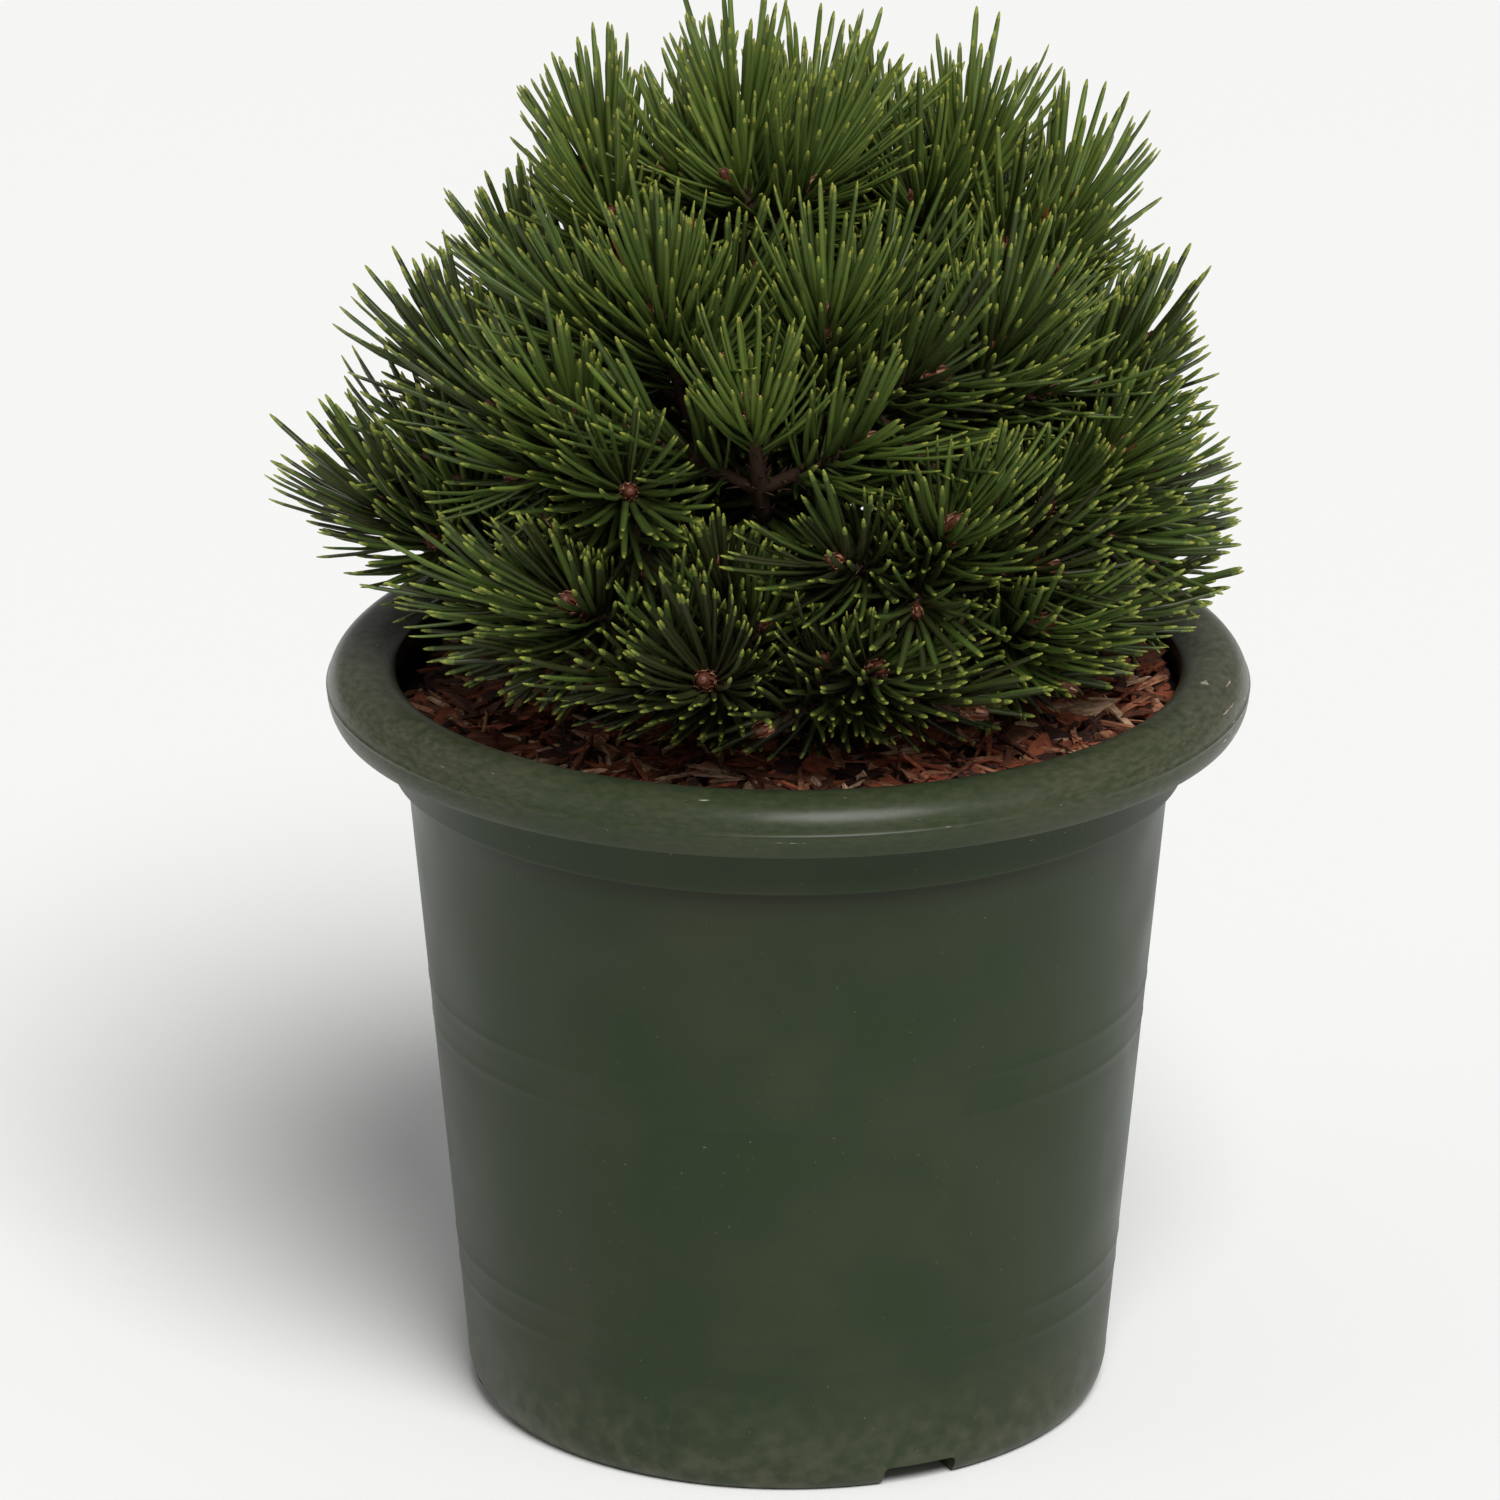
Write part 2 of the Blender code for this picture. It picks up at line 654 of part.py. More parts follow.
def core(name, foot, bud, collection):
    """The slim core of a shoot: a faceted spindle over its needle stretch, ending in its bud."""
    axis = (bud - foot).normalized()
    work = bmesh.new()
    turn = axis.to_track_quat("Z", "Y")
    rings = []
    for share, width in CORE_STATIONS:
        middle = bud - axis * NEEDLE_ZONE * (1 - share)
        ring = []
        for i in range(CORE_SIDES):
            angle = 2 * math.pi * i / CORE_SIDES
            offset = Vector((math.cos(angle), math.sin(angle), 0)) * CORE_RADIUS * width
            ring.append(work.verts.new(middle + turn @ offset))
        rings.append(ring)
    point = work.verts.new(bud + axis * BUD_LENGTH)
    for low, high in zip(rings, rings[1:]):
        for i in range(CORE_SIDES):
            j = (i + 1) % CORE_SIDES
            work.faces.new((low[i], low[j], high[j], high[i]))
    for i in range(CORE_SIDES):
        work.faces.new((rings[-1][i], rings[-1][(i + 1) % CORE_SIDES], point))
    work.faces.new(rings[0][::-1])
    mesh = bpy.data.meshes.new(name)
    work.to_mesh(mesh)
    work.free()
    return new_object(name, mesh, collection)


def keep_outer_shell(mesh):
    """Fills any hollow that joining has sealed, and drops any loose scrap: the largest shell stays."""
    work = bmesh.new()
    work.from_mesh(mesh)
    unseen = set(work.verts)
    shells = []
    while unseen:
        shell = {unseen.pop()}
        edge_of_search = list(shell)
        while edge_of_search:
            vertex = edge_of_search.pop()
            found = {e.other_vert(vertex) for e in vertex.link_edges} - shell
            shell |= found
            edge_of_search += found
        unseen -= shell
        shells.append(shell)
    largest = max(shells, key=len)
    scraps = [v for shell in shells if shell is not largest for v in shell]
    bmesh.ops.delete(work, geom=scraps, context="VERTS")
    work.to_mesh(mesh)
    work.free()


def make_mass(name, surroundings, parts, material):
    """One mass of foliage: its shoots, their cores and their needles, joined into one body."""
    shoots = surroundings.shoots[name]
    pieces = new_collection(f"pieces_of_{name}")
    dice = random.Random(f"needles of {name}")
    foot, bud = shoots[0]
    stem = stick(f"stem_{name}", foot, bud, SHOOT_RADIUS, SHOOT_TIP_RADIUS, SHOOT_SIDES, parts)
    for i, (start, end) in enumerate(shoots):
        if i:
            stick(f"side_{name}_{i}", start, end, SIDE_RADIUS, SIDE_TIP_RADIUS, SHOOT_SIDES, pieces)
        core(f"core_{name}_{i}", start, end, pieces)
        wanted = NEEDLES_ON_SIDE if i else NEEDLES_ON_LEADER
        grow_needles(f"{name}_{i}", name, (start, end), wanted, surroundings, dice, pieces)
    join = stem.modifiers.new("join", "BOOLEAN")
    join.operation = "UNION"
    join.operand_type = "COLLECTION"
    join.collection = pieces
    join.solver = "MANIFOLD"
    mesh = finished_mesh(stem)
    keep_outer_shell(mesh)
    bpy.data.objects.remove(stem)
    for piece in list(pieces.objects):
        bpy.data.objects.remove(piece)
    bpy.data.collections.remove(pieces)
    mesh.materials.clear()
    return new_object(f"foliage_{name}", mesh, parts, material)


def grow_needles(label, mass, shoot, wanted, surroundings, dice, pieces):
    """Up to the wanted number of needles on one shoot.

    Each is as long as its space allows, and one that would have to be a stub is skipped.
    """
    for i, (root, way) in enumerate(needle_ways(*shoot, wanted, dice)):
        length = NEEDLE_LENGTH * (1 + LENGTH_SCATTER * dice.uniform(-1, 1))
        for share in SHORTER:
            tip = root + way * length * share
            if surroundings.allow(mass, root + way * CORE_RADIUS, tip, NEEDLE_RADIUS):
                stick(f"needle_{label}_{i}", root, tip, NEEDLE_RADIUS, 0, NEEDLE_SIDES, pieces)
                break


def main():
    clear_scene()
    parts = new_collection("potted_bosnian_pine")
    cutters = new_collection("cutters")
    cutters.hide_render = True
    plastic = new_material(*GREEN_PLASTIC)
    mulch = new_material(*BARK_MULCH)
    bark = new_material(*PINE_BARK)
    needles = new_material(*PINE_NEEDLES)
    make_pot(parts, cutters, plastic)
    make_soil(parts, mulch)
    make_trunk(parts, bark)
    shoots = all_shoots()
    boughs = bough_lines(shoots)
    make_boughs(boughs, parts, bark)
    surroundings = Surroundings(shoots, boughs)
    for name in MASSES:
        make_mass(name, surroundings, parts, needles)
    axis = new_object("pot_axis", None, parts)
    axis.location = (POT_AXIS_X, POT_AXIS_Y, 0)
    for obj in parts.objects:
        if obj is not axis:
            obj.parent = axis


main()
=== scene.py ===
"""The looks of a potted dwarf Bosnian pine, laid out as a Blender add-on and run as a script.

The plant grows round the pot's axis by the rule that its solids follow: a trunk, a bough to each mass of
foliage, and in each mass a leader with side shoots. Here finer twigs grow on from them, and every shoot
carries its bud and pairs of needles at their real size.
"""

import functools
import json
import math
import random

import bpy
import numpy as np
from bpy.props import FloatProperty, FloatVectorProperty, IntProperty, PointerProperty
from mathutils import Euler, Matrix, Quaternion, Vector, noise

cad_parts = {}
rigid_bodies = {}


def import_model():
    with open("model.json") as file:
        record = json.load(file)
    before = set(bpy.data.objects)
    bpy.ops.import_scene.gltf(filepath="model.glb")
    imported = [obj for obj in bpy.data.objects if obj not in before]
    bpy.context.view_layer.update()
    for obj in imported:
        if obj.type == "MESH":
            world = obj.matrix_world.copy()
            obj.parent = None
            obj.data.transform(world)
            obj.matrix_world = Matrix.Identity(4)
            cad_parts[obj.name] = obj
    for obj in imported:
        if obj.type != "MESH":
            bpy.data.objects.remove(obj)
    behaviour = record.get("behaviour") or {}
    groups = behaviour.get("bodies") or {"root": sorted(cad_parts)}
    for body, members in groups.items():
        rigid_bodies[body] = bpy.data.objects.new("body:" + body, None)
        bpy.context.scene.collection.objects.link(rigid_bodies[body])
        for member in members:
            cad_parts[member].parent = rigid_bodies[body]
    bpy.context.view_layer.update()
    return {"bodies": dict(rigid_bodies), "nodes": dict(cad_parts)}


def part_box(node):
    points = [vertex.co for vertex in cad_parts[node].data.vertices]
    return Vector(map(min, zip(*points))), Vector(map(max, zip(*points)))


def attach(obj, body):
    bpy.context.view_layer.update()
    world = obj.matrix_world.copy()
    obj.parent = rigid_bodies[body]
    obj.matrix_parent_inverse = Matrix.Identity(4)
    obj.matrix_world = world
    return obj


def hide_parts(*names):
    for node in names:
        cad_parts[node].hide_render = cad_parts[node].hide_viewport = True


bl_info = {
    "name": "Potted Dwarf Pine",
    "version": (1, 0, 0),
    "blender": (4, 5, 0),
    "location": "3D View > Sidebar > Potted Pine",
    "description": "Builds a mounded dwarf pine in a green nursery pot",
    "category": "Add Mesh",
}

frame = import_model()
BODY = next(iter(frame["bodies"]))
NODES = sorted(frame["nodes"])

MM = 0.001
UP = Vector((0, 0, 1))
GOLDEN_ANGLE = math.radians(137.508)
FULL_TURN = 2 * math.pi

# The pot's own axis, rim and height, from the frame.
POT_LOW, POT_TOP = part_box("pot")
POT_AXIS = Vector(((POT_LOW.x + POT_TOP.x) / 2, (POT_LOW.y + POT_TOP.y) / 2, 0))
RIM_RADIUS = (POT_TOP.x - POT_LOW.x) / 2
POT_HEIGHT = POT_TOP.z

# Pot section. Radii are to the outside unless a name says otherwise.
BEAD_LIP_ANGLE = math.radians(-32)
BEAD_INNER_ANGLE = math.radians(150)
BEAD_INSIDE_END = math.radians(105)
BEAD_STEPS = 56
BEAD_INSIDE_STEPS = 16
SEAM_ANGLE = math.radians(7)
SEAM_SPREAD = math.radians(3.2)
SEAM_HEIGHT = 0.28 * MM
COLLAR_RADIUS = 99.5 * MM
COLLAR_DROP = 29.5 * MM
COLLAR_SHOULDER_DROP = 11 * MM
COLLAR_ROUND = 1.3 * MM
WALL_TOP_RADIUS = 95.4 * MM
WALL_FOOT_RADIUS = 80.4 * MM
RIDGE_HEIGHTS = (33 * MM, 41 * MM, 100 * MM, 110 * MM)
RIDGE_RISE = 0.12 * MM
RIDGE_SPREAD = 0.8 * MM
FOOT_CORNER_HEIGHT = 11 * MM
FOOT_CORNER_DEPTH = 4.6 * MM
FOOT_CORNER_STEPS = 9
FOOT_WIDTH = 9.5 * MM
FLOOR_UNDERSIDE = 5.5 * MM
FLOOR_TOP = 7.5 * MM
HUB_RADIUS = 2 * MM
NOTCH_AZIMUTHS = (-65.5, -162.0, 114.5, 18.0)
NOTCH_WIDTH = 19.5 * MM
NOTCH_HEIGHT = 5.2 * MM
NOTCH_CUT_LENGTH = 28 * MM
NOTCH_CUT_RADIUS = 73.5 * MM
NOTCH_ROUND = 1.6 * MM
DRAIN_RADIUS = 4.5 * MM
DRAIN_CIRCLE = 48 * MM

# Where the rim was knocked, from the pot's axis: low on the bead at the front right.
KNOCK = Vector((104.5, -27, 176)) * MM

# Bark mulch: a low dome that tilts a little.
SOIL_EDGE = 180 * MM
SOIL_CROWN = 186 * MM
SOIL_PATCH = 15.5 * MM
SOIL_TILT = 2.5 * MM
SOIL_TILT_BACK = 0.6
SOIL_UNDERSIDE = 150 * MM
SOIL_GAP = 0.4 * MM
MULCH_RINGS = 30
MULCH_SEGMENTS = 120

# Limbs, as in the solids. Shares are of the way up the trunk.
LIMB_STUB = 3 * MM
ROOT_STUB = 2.5 * MM
LIMB_PULL = 0.4
CLEARANCE = 0.3 * MM
TRUNK_RADIUS = 7.5 * MM
TRUNK_TIP_RADIUS = 3.2 * MM
TRUNK_FLARE = 4 * MM
TRUNK_FLARE_HEIGHT = 5 * MM
TRUNK_POINTS = 9
BOUGH_RADIUS = 2.9 * MM
BOUGH_TIP_RADIUS = 2.3 * MM
BOUGH_POINTS = 6
BOUGH_LOW = 0.06
BOUGH_HIGH = 0.80
BOUGH_LOWEST = 0.04
BOUGH_HIGHEST = 0.95
BOUGH_RISE = 0.35
BOUGH_GAP = 0.8 * MM
BOUGH_STEP = 0.012
BOUGH_TRIES = 60
BOUGH_SAMPLES = 20

# Mound and shoots, as in the solids.
MOUND_BASE = 196 * MM
MOUND_RADIUS = 92 * MM
MOUND_RISE = 132 * MM
SHOOT_FOCUS = Vector((0, 0, 205 * MM))
SHOOT_LIFT = 0.30
LEADER_LENGTH = 40 * MM
SIDE_SHOOTS = 2
SIDE_LENGTH = 32 * MM
SIDE_START = 0.30
SIDE_LEAN = math.radians(52)
SIDE_TURNS = 16
LEAST_SLANT = 0.01
SHOOT_RADIUS = 2.2 * MM
SHOOT_TIP_RADIUS = 1.5 * MM
NEEDLE_ZONE = 26 * MM
MOST_REACH = 1.06
LEAST_RISE = 15 * MM
ROOM_AT_EDGE = 3
ROOM_SAMPLES = 6
CORE_RADIUS = 6.6 * MM
BUD_LENGTH = 9 * MM
LEAN_AT_FOOT = math.radians(77)
LEAN_AT_BUD = math.radians(27)
LEAN_SCATTER = math.radians(8)
LENGTH_SCATTER = 0.14
SHORTER = (1.0, 0.86, 0.74, 0.62)

# Finer twigs, which only the looks have: one on each side shoot and one more on each leader.
TWIG_LENGTH = 22 * MM
TWIG_ROOM = 9 * MM
LEADER_TWIGS = 1

# How far a needle's tip may reach past the middle of the way to the next shoot.
SPARE_IN_MASS = 4.5 * MM
SPARE_BETWEEN = 2.8 * MM

# Needles also grow on the outer end of each bough, where they are older, and they sweep up the more
# the higher their shoot is.
OLD_WOOD_FROM = 0.35
SWEEP_FROM = 200 * MM
SWEEP_RUN = 35 * MM

# The crown's hem, under which no needle hangs: level near the trunk, and steeper the further out.
HEM_RADIUS = 50 * MM
HEM_HEIGHT = 186 * MM
HEM_RISE = 20 * MM

# The crown's outline, which no needle's tip passes: a mound whose upper part leans a little to the right.
OUTLINE_RADIUS = 127 * MM
OUTLINE_RISE = 176 * MM
OUTLINE_LOW_X = -10 * MM
OUTLINE_HIGH_X = 8 * MM
OUTLINE_LEANS_FROM = 280 * MM
OUTLINE_LEAN_RUN = 25 * MM

# Dark hollows between the front tufts: the ends of the line that each runs along, and its radius.
HOLLOWS = (
    (Vector((-7, -100, 272)) * MM, Vector((-7, -52, 254)) * MM, 9.5 * MM),
    (Vector((-30, -85, 291)) * MM, Vector((-30, -50, 278)) * MM, 5 * MM),
)

# Each mass of foliage: where its leader's bud lies on the mound, as azimuth (from +X, the front at
# -90) and elevation in degrees, and its share of the mound's reach.
TOP_MASS = "top"
MASSES = {
    TOP_MASS: (-163, 82, 1.0),
    "top_left": (161, 59, 1.03),
    "top_back": (85, 60, 0.98),
    "top_right": (20, 60, 1.02),
    "upper_left": (-122, 50, 1.0),
    "upper_front": (-81, 50, 0.98),
    "upper_right": (-42, 43, 1.0),
    "upper_right_back": (14, 46, 1.08),
    "upper_back": (100, 36, 1.0),
    "upper_back_right": (58, 38, 1.0),
    "upper_left_back": (147, 36, 1.02),
    "middle_front": (-97, 38, 1.0),
    "middle_left": (-135, 35, 1.0),
    "shoulder_left": (176, 30, 1.0),
    "shoulder_right": (6, 30, 1.06),
    "front_right": (-63, 24, 1.0),
    "side_right": (-22, 26, 1.0),
    "side_left": (-177, 14, 1.08),
    "foot_left": (-124, 15, 1.0),
    "foot_front_left": (-102, 9, 1.0),
    "foot_front": (-77, 10, 0.98),
    "foot_right": (-49, 12, 1.0),
    "foot_right_back": (8, 12, 0.96),
    "foot_back_right": (55, 12, 1.0),
    "foot_back": (98, 10, 1.0),
    "foot_back_left": (141, 12, 1.0),
}


def linear(hex_colour):
    """(r, g, b) in linear light from an sRGB hex value."""
    shares = [int(hex_colour[i : i + 2], 16) / 255 for i in (1, 3, 5)]
    return tuple(s / 12.92 if s <= 0.04045 else ((s + 0.055) / 1.055) ** 2.4 for s in shares)


# Selecting, applying and placing.


def deselect_all():
    if bpy.context.mode != "OBJECT":
        bpy.ops.object.mode_set(mode="OBJECT")
    bpy.ops.object.select_all(action="DESELECT")


def select_only(*objects):
    """Selects these objects and no other, and makes the first one active."""
    deselect_all()
    for obj in objects:
        obj.select_set(True)
    bpy.context.view_layer.objects.active = objects[0]


def apply_place(obj):
    """Puts the object's place, turn and scale into its mesh."""
    select_only(obj)
    bpy.ops.object.transform_apply(location=True, rotation=True, scale=True)


def apply_modifiers(obj):
    select_only(obj)
    for modifier in list(obj.modifiers):
        bpy.ops.object.modifier_apply(modifier=modifier.name)


def joined(objects):
    """The objects as one."""
    select_only(*objects)
    if len(objects) > 1:
        bpy.ops.object.join()
    return bpy.context.view_layer.objects.active


def edit_all(obj):
    """Opens the object's mesh in edit mode with all of it selected."""
    select_only(obj)
    bpy.ops.object.mode_set(mode="EDIT")
    bpy.ops.mesh.select_mode(type="VERT")
    bpy.ops.mesh.select_all(action="SELECT")


def edit_where(obj, test):
    """Opens the mesh in edit mode with only the points selected whose place passes the test."""
    edit_all(obj)
    bpy.ops.mesh.select_all(action="DESELECT")
    bpy.ops.object.mode_set(mode="OBJECT")
    for vertex in obj.data.vertices:
        vertex.select = test(vertex.co)
    bpy.ops.object.mode_set(mode="EDIT")


def close_edit():
    bpy.ops.object.mode_set(mode="OBJECT")


def on_axis(obj):
    """Moves a piece that was made round the world's axis to the pot's own."""
    obj.location = POT_AXIS
    apply_place(obj)


def deliver(obj, name, nodes=()):
    """Names a finished piece, attaches it to the body it rides on, and hides the solids it stands for."""
    obj.name = name
    obj.data.name = name
    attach(obj, BODY)
    if nodes:
        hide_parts(*nodes)


def polar(azimuth, radius, height):
    return Vector((radius * math.cos(azimuth), radius * math.sin(azimuth), height))


def pairs(points):
    return list(zip(points, points[1:]))


# Materials.


def add_node(tree, kind, settings=None, inputs=None):
    """Adds a node, sets its properties, and gives each input a value or links a socket to it."""
    made = tree.nodes.new(kind)
    for name, value in (settings or {}).items():
        setattr(made, name, value)
    for name, value in (inputs or {}).items():
        if isinstance(value, bpy.types.NodeSocket):
            tree.links.new(value, made.inputs[name])
        else:
            made.inputs[name].default_value = value
    return made


def principled(name, colour, roughness, ior=1.5):
    """(material, its tree, its shader) with the constants on the shader's own sockets."""
    material = bpy.data.materials.new(name)
    material.use_nodes = True
    shader = material.node_tree.nodes["Principled BSDF"]
    shader.inputs["Base Color"].default_value = (*colour, 1)
    shader.inputs["Roughness"].default_value = roughness
    shader.inputs["IOR"].default_value = ior
    return material, material.node_tree, shader


def place_of(tree):
    return add_node(tree, "ShaderNodeTexCoord").outputs["Object"]


def grain(tree, place, size, detail=3):
    """Noise whose lumps measure about the size."""
    inputs = {"Vector": place, "Scale": 1 / size, "Detail": detail}
    return add_node(tree, "ShaderNodeTexNoise", inputs=inputs).outputs["Fac"]


def ranged(tree, value, low, high, to_low, to_high):
    inputs = {
        "Value": value,
        "From Min": low,
        "From Max": high,
        "To Min": to_low,
        "To Max": to_high,
    }
    return add_node(tree, "ShaderNodeMapRange", inputs=inputs).outputs["Result"]


def mixed(tree, share, first, second):
    """A colour between two, each a socket or (r, g, b)."""
    colours = [c if isinstance(c, bpy.types.NodeSocket) else (*c, 1) for c in (first, second)]
    inputs = {"Factor": share, "A": colours[0], "B": colours[1]}
    node = add_node(tree, "ShaderNodeMix", {"data_type": "RGBA"})
    sockets = {"Factor": node.inputs[0], "A": node.inputs[6], "B": node.inputs[7]}
    for name, value in inputs.items():
        if isinstance(value, bpy.types.NodeSocket):
            tree.links.new(value, sockets[name])
        else:
            sockets[name].default_value = value
    return node.outputs[2]


def times(tree, first, second):
    node = add_node(tree, "ShaderNodeMath", {"operation": "MULTIPLY"}, {0: first, 1: second})
    return node.outputs[0]


def bumped(tree, shader, height, strength, depth):
    inputs = {"Height": height, "Strength": strength, "Distance": depth}
    node = add_node(tree, "ShaderNodeBump", inputs=inputs)
    tree.links.new(node.outputs["Normal"], shader.inputs["Normal"])


def satin_polyethylene(pot):
    """Moulded polyethylene, dyed dark green: satin, a little cloudy, with grit, scuffs and foot dust, painted
    highlight on the rim's sides and painted shade under the collar and inside.
    """
    material, tree, shader = principled("satin_moulded_polyethylene", pot.colour, 0.4)
    shader.inputs["Specular IOR Level"].default_value = 0.18
    place = place_of(tree)
    clouds = grain(tree, place, 38 * MM, 5)
    colour = mixed(tree, ranged(tree, clouds, 0.40, 0.68, 0, 0.55), pot.colour, pot.faded)

    # Pale grit that clings to the wall, drawn a little coarser than real so that it shows.
    grit = ranged(tree, grain(tree, place, 1.1 * MM, 2), 0.735, 0.77, 0, 0.55)
    colour = mixed(tree, grit, colour, pot.dust)

    # Dried splashes near the foot, thinning out upwards.
    centred = add_node(
        tree, "ShaderNodeMapping", inputs={"Vector": place, "Location": -POT_AXIS}
    ).outputs["Vector"]
    split = add_node(tree, "ShaderNodeSeparateXYZ", inputs={"Vector": centred})
    height = split.outputs["Z"]
    low_down = ranged(tree, height, 2 * MM, 30 * MM, 1, 0)
    blotches = ranged(tree, grain(tree, place, 5 * MM, 8), 0.40, 0.80, 0.05, 0.42)
    colour = mixed(tree, times(tree, low_down, blotches), colour, pot.dust)

    # A film of dust on the rim, rubbed into fine streaks where pots are stacked and carried. Towards the sides it
    # is also painted highlight, standing in for the side lamps' light on the bead.
    aside = add_node(tree, "ShaderNodeMath", {"operation": "ABSOLUTE"}, {0: split.outputs["X"]}).outputs[0]
    side_highlight = ranged(tree, aside, 50 * MM, 112 * MM, 0.7, 2.2)
    rim_dust_and_highlight = times(tree, side_highlight, ranged(tree, height, 172 * MM, 190 * MM, 0, 1))
    around = add_node(tree, "ShaderNodeMapping", inputs={"Vector": place, "Scale": (0.3, 0.3, 1)})
    streaks = ranged(tree, grain(tree, around.outputs["Vector"], 0.9 * MM, 9), 0.35, 0.85, 0.05, 0.26)
    colour = mixed(tree, times(tree, rim_dust_and_highlight, streaks), colour, pot.scuff_and_highlight_colour)

    # Pale scratches, a little wider than real so that they show, where the rim was knocked.
    knock = add_node(tree, "ShaderNodeVectorMath", {"operation": "DISTANCE"}, {0: centred, 1: KNOCK})
    knocked = ranged(tree, knock.outputs["Value"], 4 * MM, 26 * MM, 0.2, 0)
    drawn = add_node(tree, "ShaderNodeMapping", inputs={"Vector": place, "Scale": (0.08, 0.08, 1)})
    fine = grain(tree, drawn.outputs["Vector"], 0.6 * MM, 3)
    marked = add_node(tree, "ShaderNodeMath", {"operation": "ADD"}, {0: fine, 1: knocked}).outputs[0]
    lines = ranged(tree, marked, 0.73, 0.77, 0, 0.7)
    on_bead = ranged(tree, height, 168 * MM, 173 * MM, 0, 1)
    colour = mixed(tree, times(tree, on_bead, lines), colour, pot.scratches)

    # Painted shadow under the collar: a dark band on the wall below its lower edge stands in for the shade that
    # the collar casts.
    collar_shadow = ranged(tree, height, POT_HEIGHT - COLLAR_DROP - 7 * MM, POT_HEIGHT - COLLAR_DROP, 0, 0.5)
    above = ranged(tree, height, POT_HEIGHT - COLLAR_DROP, POT_HEIGHT - COLLAR_DROP + 0.4 * MM, 1, 0)
    colour = mixed(tree, times(tree, collar_shadow, above), colour, pot.shade_and_stain)

    # Inside, the wall is painted dark brown up to the bead: painted shade of the pot's hollow, tinted like a mulch
    # stain.
    flat = add_node(tree, "ShaderNodeVectorMath", {"operation": "MULTIPLY"}, {0: centred, 1: (1, 1, 0)})
    radius = add_node(tree, "ShaderNodeVectorMath", {"operation": "LENGTH"}, {0: flat.outputs["Vector"]})
    inner = ranged(tree, radius.outputs["Value"], 97.8 * MM, 98.8 * MM, 0.85, 0)
    inner_shade = times(tree, inner, ranged(tree, height, 166.6 * MM, 168.6 * MM, 0, 1))
    colour = mixed(tree, inner_shade, colour, pot.shade_and_stain)
    tree.links.new(colour, shader.inputs["Base Color"])

    # Fine upright scratches, about 0.6 mm apart and 20 mm long.
    stretch = add_node(tree, "ShaderNodeMapping", inputs={"Vector": place, "Scale": (1, 1, 0.03)})
    scratches = grain(tree, stretch.outputs["Vector"], 0.6 * MM, 2)
    rough = ranged(tree, clouds, 0.3, 0.7, 0.33, 0.47)
    polished = ranged(tree, height, 176 * MM, 186 * MM, 1, 0.78)
    tree.links.new(times(tree, rough, polished), shader.inputs["Roughness"])
    bumped(tree, shader, scratches, 0.10, 0.10 * MM)
    return material


def bark_chip(name, colour):
    """Composted pine bark: dull, fibrous and flaky, each chip paler along its raised fibres."""
    material, tree, shader = principled(name, colour, 0.85)
    place = place_of(tree)
    fibres = add_node(tree, "ShaderNodeMapping", inputs={"Vector": place, "Scale": (0.35, 1, 1)})
    grooves = grain(tree, fibres.outputs["Vector"], 1.3 * MM, 5)
    darker = tuple(c * 0.38 for c in colour)
    tree.links.new(
        mixed(tree, ranged(tree, grooves, 0.32, 0.62, 0, 1), darker, colour),
        shader.inputs["Base Color"],
    )
    bumped(tree, shader, grooves, 0.9, 0.6 * MM)
    return material


def pine_bark(limbs):
    """Young pine bark: grey-brown plates with darker cracks between them."""
    material, tree, shader = principled("grey_brown_pine_bark", limbs.colour, 0.9)
    place = place_of(tree)
    cracks = add_node(
        tree,
        "ShaderNodeTexVoronoi",
        {"feature": "DISTANCE_TO_EDGE"},
        {"Vector": place, "Scale": 1 / (3.2 * MM)},
    ).outputs["Distance"]
    plates = ranged(tree, cracks, 0.0, 0.16, 0, 1)
    mottled = mixed(tree, grain(tree, place, 2.2 * MM, 5), limbs.colour, limbs.pale)
    tree.links.new(mixed(tree, plates, limbs.cracks, mottled), shader.inputs["Base Color"])
    bumped(tree, shader, cracks, 0.8, 0.7 * MM)
    return material


def needle_wax(name, colour, roughness=0.42):
    """A needle's waxy skin: opaque, softly glossy, with fine pores that break up its shine."""
    material, tree, shader = principled(name, colour, roughness, 1.45)
    bumped(tree, shader, grain(tree, place_of(tree), 0.5 * MM, 1), 0.15, 0.08 * MM)
    return material


def bud_scale(name, colour):
    """Papery bud scales, stuck down with resin that gives them a dull shine."""
    material, tree, shader = principled(name, colour, 0.5)
    bumped(tree, shader, grain(tree, place_of(tree), 0.7 * MM, 3), 0.4, 0.2 * MM)
    return material


def dull(name, colour, roughness=0.9):
    """A plain dull surface with a fine tooth."""
    material, tree, shader = principled(name, colour, roughness)
    bumped(tree, shader, grain(tree, place_of(tree), 1.5 * MM, 3), 0.3, 0.2 * MM)
    return material


# Many small shapes as one mesh.


class Shape:
    """Points, and faces as a run of corners, the corners in each face and its material's number."""

    def __init__(self, points, corners, sizes, materials):
        self.points = points
        self.corners = corners
        self.sizes = sizes
        self.materials = materials

    @classmethod
    def taken_from(cls, obj):
        """The shape of an object, which is then removed."""
        mesh = obj.data
        points = np.empty(len(mesh.vertices) * 3)
        mesh.vertices.foreach_get("co", points)
        corners = np.empty(len(mesh.loops), int)
        mesh.loops.foreach_get("vertex_index", corners)
        sizes = np.empty(len(mesh.polygons), int)
        mesh.polygons.foreach_get("loop_total", sizes)
        materials = np.empty(len(mesh.polygons), int)
        mesh.polygons.foreach_get("material_index", materials)
        bpy.data.objects.remove(obj)
        return cls(points.reshape(-1, 3), corners, sizes, materials)

    def placed(self, matrix, material=None):
        """A copy that is moved by a matrix, and given one material if that is stated."""
        turn = np.array(matrix.to_3x3())
        points = self.points @ turn.T + np.array(matrix.translation)
        materials = self.materials if material is None else np.full(len(self.sizes), material)
        return Shape(points, self.corners, self.sizes, materials)


